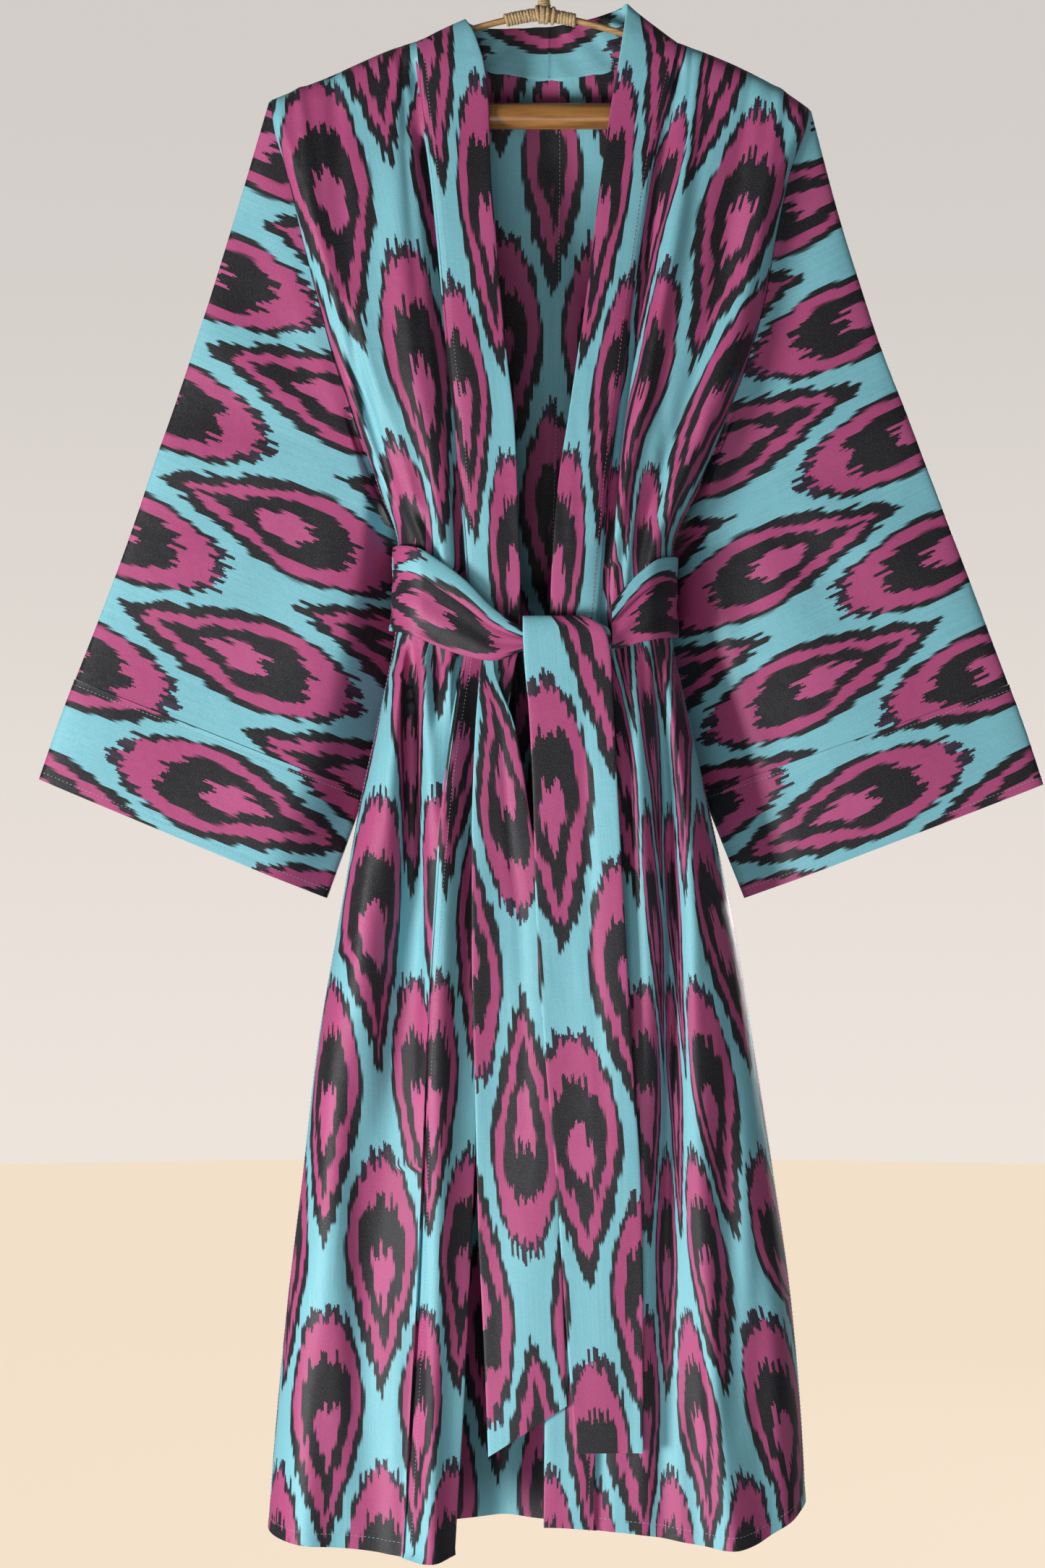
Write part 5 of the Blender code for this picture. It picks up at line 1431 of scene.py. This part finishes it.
def thread_piece(name, lines, finish, sizes, build):
    """Thread along open lines: build adds the nodes that turn a curve and the named sizes into thread."""
    tree = bpy.data.node_groups.new(name + "_tree", "GeometryNodeTree")
    tree.interface.new_socket("Line", in_out="INPUT", socket_type="NodeSocketGeometry")
    values = {}
    for label, value in sizes.items():
        made = tree.interface.new_socket(label, in_out="INPUT", socket_type="NodeSocketFloat")
        values[made.identifier] = value
    tree.interface.new_socket("Made", in_out="OUTPUT", socket_type="NodeSocketGeometry")
    start, end = tree.nodes.new("NodeGroupInput"), tree.nodes.new("NodeGroupOutput")

    def add(kind, inputs, **settings):
        """A node with its settings, and with values or links on its inputs; gives its first output."""
        node = tree.nodes.new(kind)
        for key, value in settings.items():
            setattr(node, key, value)
        for key, value in inputs.items():
            if isinstance(value, bpy.types.NodeSocket):
                tree.links.new(value, node.inputs[key])
            else:
                node.inputs[key].default_value = value
        return node.outputs[0]

    curve = add("GeometryNodeMeshToCurve", {0: start.outputs["Line"]})
    whole = add("GeometryNodeRealizeInstances", {0: build(add, curve, start.outputs)})
    painted = add("GeometryNodeSetMaterial", {"Geometry": whole, "Material": finish})
    tree.links.new(painted, end.inputs[0])
    return run_tree(line_object(name, lines), tree, values)


def stitches(colour_name, lines, finish):
    """A row of stitches along each line: short rounded stems of thread, end to end with gaps."""
    pitch, length, thick = STITCHES[colour_name]

    def build(add, curve, size):
        even = add("GeometryNodeResampleCurve", {"Curve": curve, "Length": size["Pitch"]}, mode="LENGTH")
        stem = add("GeometryNodeMeshUVSphere", {"Segments": 6, "Rings": 4, "Radius": 0.5})
        tangent = add("GeometryNodeInputTangent", {})
        aim = add("FunctionNodeAlignEulerToVector", {"Vector": tangent}, axis="Z")
        scale = add("ShaderNodeCombineXYZ", {0: size["Thread"], 1: size["Thread"], 2: size["Length"]})
        put = {"Points": even, "Instance": stem, "Rotation": aim, "Scale": scale}
        return add("GeometryNodeInstanceOnPoints", put)

    sizes = {"Pitch": pitch, "Length": length, "Thread": thick}
    return thread_piece("stitches_" + colour_name, lines, finish, sizes, build)


def twine(name, lines, thick, finish):
    """Round twine along each line."""

    def build(add, curve, size):
        half = add("ShaderNodeMath", {0: size["Thickness"], 1: 0.5}, operation="MULTIPLY")
        ring = add("GeometryNodeCurvePrimitiveCircle", {"Resolution": 8, "Radius": half})
        body = add("GeometryNodeCurveToMesh", {"Curve": curve, "Profile Curve": ring, "Fill Caps": True})
        return add("GeometryNodeSetShadeSmooth", {0: body})

    return thread_piece(name, lines, finish, {"Thickness": thick}, build)


# The garment

def settle(piece, nodes, slot, flat=None, area=None, held="hung", rests_on=()):
    """Hangs a piece on the root body and hides the solids that it stands for."""
    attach(piece, "root")
    if nodes:
        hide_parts(*nodes)


def lift(points, normal, by):
    """Points moved along their normals by millimetres."""
    return points + normal * (np.asarray(by, float) * 0.001)[..., None]


# The panels' rows, close together near the ridge, and their columns, close together at the side.
PANEL_LEVELS = np.concatenate([
    SHOULDER_LEVEL + np.array([0, 0.15, 0.4, 0.8, 1.4, 2.2, 3.3, 4.8, 6.8, 9.4, 12.6, 16.4]),
    np.linspace(115.5, HEM_LEVEL, 226),
])
PANEL_COLUMNS = np.concatenate([np.linspace(0, PANEL_SPLIT, 92), np.linspace(PANEL_SPLIT, 1, 20)[1:]])


def seam_roll(away, drop):
    """The cloth's roll beside the band's seam, by the distance from it: a narrow valley and a soft ridge."""
    near = away / SEAM_DIP_WIDE
    rise, place, width = SEAM_RIDGE
    roll = -SEAM_DIP * near * np.exp(1 - near) + rise * np.exp(-(((away - place) / width) ** 2))
    clear = 1 - np.exp(-(((drop - DOWEL_DROP) / ROLL_BAR) ** 4))
    return roll * clear * smooth(drop, *ROLL_START) * (1 - smooth(drop, *ROLL_EASE) * ROLL_LESS)


def make_panels(cloth):
    """The fronts and the halves of the back. Gives each one's points and normals."""
    found = {}
    calm = smooth(1 - PANEL_COLUMNS, 0.0, 0.2)[:, None] * smooth(PANEL_COLUMNS, 0, 0.05)[:, None]
    for hand in SIGN:
        for which, make_point, facing in (("front", front_point, -1), ("back", back_point, 1)):
            here, normal = grid(make_point(hand), PANEL_COLUMNS, PANEL_LEVELS)
            normal = normal * np.sign(normal[40, 100, 1]) * facing
            key = hand if which == "front" else "back"
            x, _, drop = millimetres(here)
            dip = seam_roll(arc_lengths(here), drop) if which == "front" else 0.0
            here = lift(here, normal, fine_folds(key, x, drop) * calm + dip)
            half = np.full(here.shape[:2], SHOWN_WALL / 2)
            half[:, PANEL_LEVELS > HEM_LEVEL - HEM_TURN] += HEM_MORE
            node = f"{which}_{hand}"
            piece = shell("cloth_" + node, here, normal, half, panel_uv(key, hand, here), cloth)
            settle(piece, [node], "ikat_cotton", *CUT[node], rests_on=["hanger_dowel"])
            found[node] = (here, normal)
    return found


def make_bands(cloth):
    """The bands, each with a lap behind the front at its seam and one at the centre back."""
    found = {}
    for hand in SIGN:
        across = near_edges(13, BAND_EDGE)
        along = np.concatenate([np.linspace(-1, 0, 90)[:-1], np.linspace(0, 1, 240)])
        here, normal = grid(band_point(hand), across, along)
        normal = normal * -np.sign(normal[8, 200, 1])
        x, _, drop = millimetres(here)
        calm = smooth(along, -0.1, 0.1)[None, :] * 0.75
        wave = 0.5 * np.sin(along * 41 + 1.3 * across[:, None] * 3) * smooth(-along, 0.15, 0.5)[None, :]
        proud = (BAND_PROUD - BAND_SEAM) * smooth(across, 0, 0.5)[:, None]
        here = lift(here, normal, fine_folds(hand, x, drop) * calm + BAND_SEAM + proud + wave)
        under = normal[:, :1] * (-BAND_UNDER * SIGN[hand])
        lap = here[:, :1] + unit(here[:, :1] - here[:, 2:3]) * BAND_LAP + under
        here, normal = np.concatenate([lap, here], 1), np.concatenate([normal[:, :1], normal], 1)
        lap = here[:1] + unit(here[:1] - here[2:3]) * CENTRE_LAP + np.array([0.0, CENTRE_BEHIND, 0.0])
        here, normal = np.concatenate([lap, here]), np.concatenate([normal[:1], normal])
        across, along = np.concatenate([[-0.05], across]), np.concatenate([[-1.004], along])
        half = edge_round(np.maximum(across, 0), BAND_EDGE, BAND_WALL)[:, None] + 0 * here[..., 0]
        piece = shell(f"cloth_band_{hand}", here, normal, half, band_uv(hand, here, across, along), cloth)
        settle(piece, [f"band_{hand}"], "ikat_cotton", *CUT[f"band_{hand}"], rests_on=["hanger_strip"])
        found[hand] = (here, normal, across, along)
    return found


def sleeve_waves(hand, turn, along, here):
    """Soft hanging folds of a sleeve: rays from the underarm and slack between the two folds."""
    sign = SIGN[hand]
    x, _, drop = millimetres(here)
    from_x, from_drop = x - sign * 150, drop - UNDERARM_DROP
    ray = np.arctan2(from_drop, sign * from_x)
    far = np.hypot(from_x, from_drop)
    front = np.where(np.sin(turn) > 0, 1.0, -1.0)
    seed = (0.0 if hand == "left" else 1.7) + (0.0 if front.mean() > 0 else 0.9)
    rays = np.sin(9 * ray + seed + front * 0.8) * smooth(far, 30, 130) * (1 - smooth(far, 260, 420))
    slack = np.sin(far / 38 + 3 * ray + seed * 2 + front) * smooth(far, 90, 240)
    share = np.abs(np.sin(turn)) ** 0.5
    return (1.5 * rays + 1.1 * slack) * share * smooth(along, 0.02, 0.2)


def tucked(here, normal):
    """The sleeve's grid with its seam allowance added, turned in behind the armhole."""
    way = unit(here[:, 0] - here[:, 3])
    extra = [here[:, 0] + way * far * 0.001 - normal[:, 0] * deep * 0.001 for far, deep in TUCK]
    here = np.concatenate([np.stack(extra, 1), here], axis=1)
    return here, np.concatenate([normal[:, :1]] * len(TUCK) + [normal], axis=1)


def meet_side(here, side, sign):
    """Moves the sleeve's inner fold under the armhole to the side seam, so that no gap is left there."""
    inner = here[..., 0] * -sign
    edge = inner.max(axis=0, keepdims=True)
    drop = here[..., 2] * -1000
    seam = np.interp(drop, side[:, 2] * -1000, side[:, 0] * -sign)
    gap = np.clip(seam - edge + SIDE_LAP, 0, 0.02)
    near = smooth((inner - edge) * 1000, -34, -2)
    moved = here.copy()
    moved[..., 0] -= sign * (gap * near * smooth(drop, 405, 425) * (1 - smooth(drop, 500, 575)))
    return moved


def make_sleeves(cloth, panels):
    """The sleeves and their cuffs, as closed tubes. Gives the cuffs' points and normals."""
    found = {}
    turns = np.arange(132) * 2 * np.pi / 132
    for hand in SIGN:
        for part, rows in (("sleeve", np.linspace(0, 0.9995, 112)), ("cuff", np.linspace(1.0005, 2, 42))):
            here, normal = grid(sleeve_point(hand), turns, rows)
            if np.einsum("ijk,ijk->ij", normal, here - here.mean(axis=0, keepdims=True)).sum() < 0:
                normal = -normal
            angle, along = np.meshgrid(turns, rows, indexing="ij")
            here = lift(here, normal, sleeve_waves(hand, angle, along, here))
            here = meet_side(here, panels[f"front_{hand}"][0][-1], SIGN[hand])
            if part == "sleeve":
                here, normal = tucked(here, normal)
            half = np.full(here.shape[:2], SHOWN_WALL / 2)
            if part == "cuff":
                half[:, :1] += CUFF_SEAM_MORE
                half = half + CUFF_MORE
                here = lift(here, normal, np.full(here.shape[:2], CUFF_MORE))
                found[hand] = (here, normal)
            uv = sleeve_uv(hand, here, part == "cuff")
            flip = (here.transpose(1, 0, 2), normal.transpose(1, 0, 2), half.T, uv.transpose(1, 0, 2))
            piece = shell(f"cloth_{part}_{hand}", *flip, cloth, ring=True)
            settle(piece, [f"{part}_{hand}"], "ikat_cotton", *CUT[part], rests_on=[f"cloth_front_{hand}"])
    return found


def belt_creases(across, along, seed):
    """Long creases of the tied belt that gather toward its knot."""
    pull = (1 - along) ** 0.5
    wave = np.sin((across * 9 + seed) * (1 + 0.4 * along)) + 0.6 * np.sin(across * 17 - seed * 2 + 5 * along)
    return 0.9 * wave * (0.35 + 0.65 * pull)


def belt_sheet(name, point, strip, along, uv_of, finish, facing=-1, by=None):
    """A doubled strip on a surface: strip is its places across, its edges' share and its thickness."""
    count, fine, wall = strip
    across = near_edges(count, fine)
    here, normal = grid(point, across, along)
    a, b = np.meshgrid(across, along, indexing="ij")
    if (normal[..., 1] * facing).sum() < 0:
        normal = -normal
    if by is not None:
        here = lift(here, normal, by(a, b))
    uv = uv_of(a, arc_lengths(here[len(across) // 2])[None, :] + 0 * a, here)
    half = edge_round(across, fine, wall)[:, None] + 0 * a
    return shell(name, here, normal, half, uv, finish)


def run_uv(across, scale, down):
    """A rule for the pattern's place on a strip, from its place across and down at its start."""
    return lambda a, length, here: np.stack([(a + across) * scale, down + length / PITCH], -1)


def make_belt(cloth):
    """The belt over both fronts with its turned-over upper edge, and the belt round the back."""
    strip = (19, BELT_EDGE, BELT_WALL)
    along = np.linspace(0, 1, 90)
    for hand, seed in (("left", 0.4), ("right", 2.1)):
        point = belt_point(hand)

        def wrap_creases(a, b, seed=seed):
            return belt_creases(a, b, seed) * smooth(a, 0.02, 0.15)

        def flap_point(a, b, point=point):
            deep = 0.25 + 0.13 * (1 - b)
            x, y, drop = point(np.clip(a * deep, 0, 1), b)
            swell = 1.5 + 1.6 * np.sin(np.clip(a, 0, 1) * np.pi) ** 0.6
            return x, y - swell - 0.9 * (1 - b), drop - 1.2 * (1 - a)

        piece = belt_sheet(
            f"cloth_belt_{hand}", point, strip, along, run_uv(-0.61, 0.62, 0.083), cloth, by=wrap_creases,
        )
        settle(piece, [f"belt_{hand}"], "ikat_belt", *CUT[f"belt_{hand}"], rests_on=[f"cloth_front_{hand}"])
        flap = (9, FLAP_EDGE, 2 * SHOWN_WALL)
        piece = belt_sheet(
            f"cloth_belt_turned_{hand}", flap_point, flap, along, run_uv(0.15, 0.24, 0.66), cloth,
        )
        settle(piece, [], "ikat_belt", *CUT[f"flap_{hand}"], held="folded", rests_on=[f"cloth_belt_{hand}"])

    def back_creases(a, b):
        calm = np.sin(np.pi * a) * smooth(np.minimum(b, 1 - b), 0, 0.08)
        return belt_creases(a, np.abs(2 * b - 1), 1.0) * 0.7 * calm

    piece = belt_sheet(
        "cloth_belt_back", belt_back_point, strip, np.linspace(0, 1, 150), run_uv(-0.5, 0.64, 0.2), cloth,
        1, back_creases,
    )
    rest = ["cloth_back_left", "cloth_back_right"]
    settle(piece, ["belt_back"], "ikat_belt", *CUT["belt_back"], rests_on=rest)


def make_tails(cloth):
    """The two hanging ends of the belt."""
    gather = through(TAIL_GATHER, 1)
    for hand, point, start in (
        ("right", tail_over, -1.0), ("left", tail_point(TAIL_LEFT, TAIL_SLANT), 0.0),
    ):
        along = np.linspace(0, 1, 170)
        if start < 0:
            along = np.concatenate([np.linspace(start, 0, 14)[:-1], along])

        def tail_uv(a, length, here, hand=hand):
            axis, spread, tops = TAIL_WARP[hand]
            _, y, drop = millimetres(here)
            at = seen(drop, y, CAMERA_DROP)
            shown = a * gather(drop) if hand == "left" else a
            return np.stack([(shown - through(axis, 1)(at)) / spread, through(tops, 1)(at)], -1)

        def sway(a, b, hand=hand):
            shift = 0 if hand == "left" else 2
            soft = 1.2 * np.sin(7 * b + 3 * a + shift) + 0.8 * np.sin(2.2 * np.pi * a + 5 * b)
            crease = np.exp(-(((a - 0.62) / 0.07) ** 2))
            fold = -1.6 * crease * smooth(b, 0.02, 0.15) * (1 - smooth(b, 0.35, 0.8))
            return (soft + fold) * smooth(b, 0.03, 0.25)

        def hung(a, b, hand=hand, point=point):
            x, y, drop = point(a, b)
            if hand == "right":
                return x, y, drop - TAIL_SHORTER * smooth(b, 0.5, 1.0)
            first_x = point(0 * a, b)[0]
            return first_x + (x - first_x) * gather(drop), y, drop

        strip = (17, TAIL_EDGE, BELT_WALL)
        piece = belt_sheet(f"cloth_belt_tail_{hand}", hung, strip, along, tail_uv, cloth, by=sway)
        rest = ["cloth_belt_knot"] if hand == "right" else ["cloth_band_left"]
        settle(piece, [f"belt_tail_{hand}"], "ikat_belt", *CUT[f"tail_{hand}"], rests_on=rest)


def make_knot(cloth):
    """The bunched turn of the belt inside the knot, with the folds that it pulls."""
    rings, places = [], []
    angle = np.linspace(0, 2 * np.pi, 61)
    for s in np.linspace(-1, 1, 61):
        scale = 0.32 + 0.68 * max(1 - abs(s) ** 3.2, 0.0) ** 0.5
        crease = 1 + 0.07 * np.sin(7 * angle + 2.5 * s) + 0.05 * np.sin(13 * angle - 4 * s)
        x = KNOT_CENTRE[0] + KNOT_HALF[0] * s + 0 * angle
        y = KNOT_CENTRE[1] + KNOT_HALF[1] * scale * crease * np.cos(angle)
        drop = KNOT_CENTRE[2] + KNOT_HALF[2] * scale * crease * np.sin(angle)
        rings.append(to_metres(x, y, drop)[:-1])
        places.append(np.stack([0.16 * np.cos(angle) + 0.02, 0.9 + 0.12 * s + 0 * angle], -1)[:-1])
    piece = rings_piece("cloth_belt_knot", rings, cloth, places)
    settle(piece, ["belt_knot"], "ikat_belt")


# Sewing

def surface_line(here, normal, rows, above):
    """A line of points a little above a surface, by its grid rows."""
    return [here[i, j] + normal[i, j] * above * 0.001 for i, j in rows]


def make_sewing(panels, bands, cuffs, finishes):
    """The stitches of hems, seams and top stitching, by the colour of their thread."""
    lines = {"pale": [], "dark": [], "red": []}

    def sew(colour_name, here, normal, rows, above):
        lines[colour_name].append(surface_line(here, normal, rows, above))

    hem = int(np.searchsorted(PANEL_LEVELS, HEM_LEVEL - HEM_TURN)) - 1
    for here, normal in panels.values():
        sew("pale", here, normal, [(i, hem) for i in range(1, here.shape[0] - 1)], HEM_THREAD)
    for hand in SIGN:
        if hand == "right":
            here, normal = panels["back_right"]
            down = [(3, j) for j in range(4, here.shape[1] - 2)]
            sew("pale", here, -normal, down, CENTRE_THREAD)
            sew("pale", here, normal, down, CENTRE_THREAD)
        here, normal, across, along = bands[hand]
        place = int(np.searchsorted(across, 0.045))
        lower = [(place, j) for j in range(len(along)) if along[j] > 0.0]
        sew("red" if hand == "right" else "dark", here, normal, lower, BAND_THREAD)
        neck = [(place, j) for j in range(len(along)) if along[j] < -NECK_TURN]
        sew("pale", here, normal, neck, BAND_THREAD)
        sew("pale", here, -normal, neck, BAND_THREAD)
        here, normal = cuffs[hand]
        for row in (2, here.shape[1] - 4):
            ring = [(i % here.shape[0], row) for i in range(here.shape[0] + 1)]
            sew("pale", here, normal, ring, CUFF_THREAD)
        here, normal = panels["front_" + hand]
        side = int(np.searchsorted(PANEL_COLUMNS, 0.985))
        down = [(side, j) for j in range(here.shape[1]) if PANEL_LEVELS[j] > UNDERARM_DROP + 12]
        sew("pale", here, normal, down, SIDE_THREAD)
    for colour_name, finish in finishes.items():
        settle(stitches(colour_name, lines[colour_name], finish), [], "ikat_cotton")


# The hanger

def make_bar(finish):
    """The straight bar with its rounded ends."""
    angle = np.arange(72) * 2 * np.pi / 72
    ends = [(0.0, 2.6), (0.4, 1.2), (1.3, 0.3), (2.6, 0.0)]
    profile = [(-DOWEL_HALF + inward, DOWEL_RADIUS - less) for inward, less in ends]
    profile += [(x, DOWEL_RADIUS) for x in np.linspace(-DOWEL_HALF + 8, DOWEL_HALF - 8, 24)]
    profile += [(DOWEL_HALF - inward, DOWEL_RADIUS - less) for inward, less in reversed(ends)]
    rings = [to_metres(x + 0 * angle, r * np.cos(angle), DOWEL_DROP + r * np.sin(angle)) for x, r in profile]
    settle(rings_piece("bar", rings, finish), ["hanger_dowel"], "varnished_wood")


def make_twine(finish, bottom):
    """The twine round the middle of the strip, and the coil that the hook stands in."""
    step = WIND_STEPS
    line = []
    for k in range(STRIP_WINDS * step + 1):
        x = -WRAP_HALF + TWINE / 2 + k / (STRIP_WINDS * step) * (2 * WRAP_HALF - TWINE)
        spread = 0.3 * np.sin(k * 0.61) + 0.2 * np.sin(k * 0.173)
        section = strip_section(x + spread * 0.4, step, TWINE / 2 - 0.1 + 0.12 * np.sin(k * 0.33))
        line.append(section[k % step])
    more = []
    for k in range(HOOK_WINDS * step + 1):
        t = k / (HOOK_WINDS * step)
        x = HOOK_X + (t - 0.5) * 12 + 3.0 * np.sin(2 * np.pi * t * 2.5)
        more.append(strip_section(x, step, TWINE * 1.2)[k % step])
    settle(twine("twine_wrap", [line, more], TWINE * 0.00108, finish), ["hanger_wrap"], "wound_twine")
    coil = []
    for k in range(BASE_WINDS * step + 1):
        t = k / (BASE_WINDS * step)
        a = 2 * np.pi * k / step
        r = HOOK_WIRE + TWINE * 0.45 + (1.2 if t < 0.3 else 0.7)
        drop = bottom + 1.5 - t * (BASE_HEIGHT + 0.4)
        coil.append(to_metres(HOOK_X + r * np.cos(a), r * np.sin(a), drop))
    settle(twine("twine_base", [coil], TWINE * 0.001, finish), ["hanger_hook_base"], "wound_twine")


def make_hook(finish, bottom):
    """The wire hook: a stem, a bend and the bow that hangs over a rail."""
    radius = HOOK_INNER + HOOK_WIRE
    arc = np.radians(np.linspace(*HOOK_ARC, 90))
    bow = [(radius * np.cos(a), 0.0, HOOK_INNER - radius * np.sin(a)) for a in arc]
    start_x, _, start_drop = bow[0]
    path = [(HOOK_X, 0.0, bottom + 2), (HOOK_X, 0.0, bottom - 6), (HOOK_X, 0.0, HOOK_STEM_TOP)]
    for t in np.linspace(0.1, 0.95, 9):
        first, middle, last = (1 - t) ** 2, 2 * (1 - t) * t, t * t
        x = first * HOOK_X + middle * (HOOK_X + 0.2) + last * start_x
        path.append((x, 0.0, first * HOOK_STEM_TOP + middle * (start_drop + 3) + last * start_drop))
    path = to_metres(*np.array(path + bow, float).T)
    piece = rings_piece("wire_hook", swept(path, HOOK_WIRE * 0.001, 20), finish)
    settle(piece, ["hanger_hook"], "bent_steel")


def make_hanger(bar, bamboo, twine_finish, wire):
    """The bar, the bent strip, their twine and the hook."""
    make_bar(bar)
    rings = [strip_section(x, 28) for x in np.linspace(-STRIP_HALF, STRIP_HALF, 120)]
    settle(rings_piece("bent_strip", rings, bamboo), ["hanger_strip"], "split_bamboo")
    bottom = STRIP_TOP - WRAP_RADIUS + STRIP_THICK / 2
    make_twine(twine_finish, bottom)
    make_hook(wire, bottom)


# The room

def make_stage():
    """A plain pale floor and a pale round wall that only the camera sees."""
    turn = np.linspace(0, 2 * np.pi, 97)[:-1]
    edge = [(ROOM_WIDE * np.cos(a), ROOM_WIDE * np.sin(a)) for a in turn]
    n = len(edge)
    floor_points = [(x, y, FLOOR) for x, y in edge]
    floor_paint = backdrop("floor_paint", "F2DFC8", "F2DFC8")
    floor = mesh_piece("floor", floor_points, [tuple(range(n))], floor_paint)
    points = [(x, y, z) for z in (FLOOR, WALL_TOP) for x, y in edge] + [(0, 0, DOME_TOP)]
    faces = [(k, (k + 1) % n, n + (k + 1) % n, n + k) for k in range(n)]
    faces += [(n + k, n + (k + 1) % n, 2 * n) for k in range(n)]
    wall = mesh_piece("wall", points, faces, backdrop("wall_paint", "EDE4DC", "D2CDC8"))
    for part in (floor, wall):
        part.visible_diffuse = False
        part.visible_glossy = False
    wall.visible_shadow = False


def make_light():
    """A soft sky and soft square lamps that the camera doesn't see."""
    world = bpy.data.worlds.new("soft_sky")
    bpy.context.scene.world = world
    world.use_nodes = True
    sky = world.node_tree.nodes["Background"]
    sky.inputs[0].default_value = (0.95, 0.97, 1.0, 1.0)
    sky.inputs[1].default_value = 0.14
    for name, (place, size, power, tint) in LAMPS.items():
        light = bpy.data.lights.new(name, "AREA")
        light.shape = "SQUARE"
        light.size = size
        light.energy = power
        light.color = tint
        lamp = bpy.data.objects.new(name, light)
        lamp.location = place
        lamp.visible_camera = False
        lamp.rotation_euler = (Vector(LAMPS_AIM) - Vector(place)).to_track_quat("-Z", "Y").to_euler()
        bpy.context.scene.collection.objects.link(lamp)


def make_camera():
    """The photo's level camera."""
    camera = bpy.data.cameras.new("camera")
    camera.sensor_fit = "VERTICAL"
    camera.sensor_height = SENSOR_TALL
    camera.lens = SENSOR_TALL * CAMERA_AWAY / CAMERA_TALL
    view = bpy.data.objects.new("camera", camera)
    view.location = (CAMERA_X * 0.001, -CAMERA_AWAY * 0.001, -CAMERA_DROP * 0.001)
    view.rotation_euler = (np.pi / 2, 0, 0)
    bpy.context.scene.collection.objects.link(view)
    bpy.context.scene.camera = view
    bpy.context.scene.view_settings.view_transform = "Standard"


def main():
    """Makes the garment, its sewing, the hanger, the room, the lamps and the camera."""
    for old in ("Cube", "Light", "Camera"):
        if old in bpy.data.objects:
            bpy.data.objects.remove(bpy.data.objects[old])
    cloth = ikat_cloth("ikat_cotton_dyed")
    panels = make_panels(cloth)
    bands = make_bands(cloth)
    cuffs = make_sleeves(cloth, panels)
    make_belt(cloth)
    make_tails(cloth)
    make_knot(cloth)
    finishes = {
        "pale": fibre("thread_pale", "8B9A9A", "BFC9C6"),
        "dark": fibre("thread_dark", "9A8E92", "C9BEC0"),
        "red": fibre("thread_red", "7E2F4E", "C96A8C"),
    }
    make_sewing(panels, bands, cuffs, finishes)
    make_hanger(
        wood("bar_wood", "7C5026", "A9763F", 0.34, 14, 160),
        wood("strip_bamboo", "8E6638", "C39A63", 0.45, 18, 420),
        fibre("natural_twine", "937650", "D8BD90"),
        steel("bent_wire"),
    )
    make_stage()
    make_light()
    make_camera()


main()
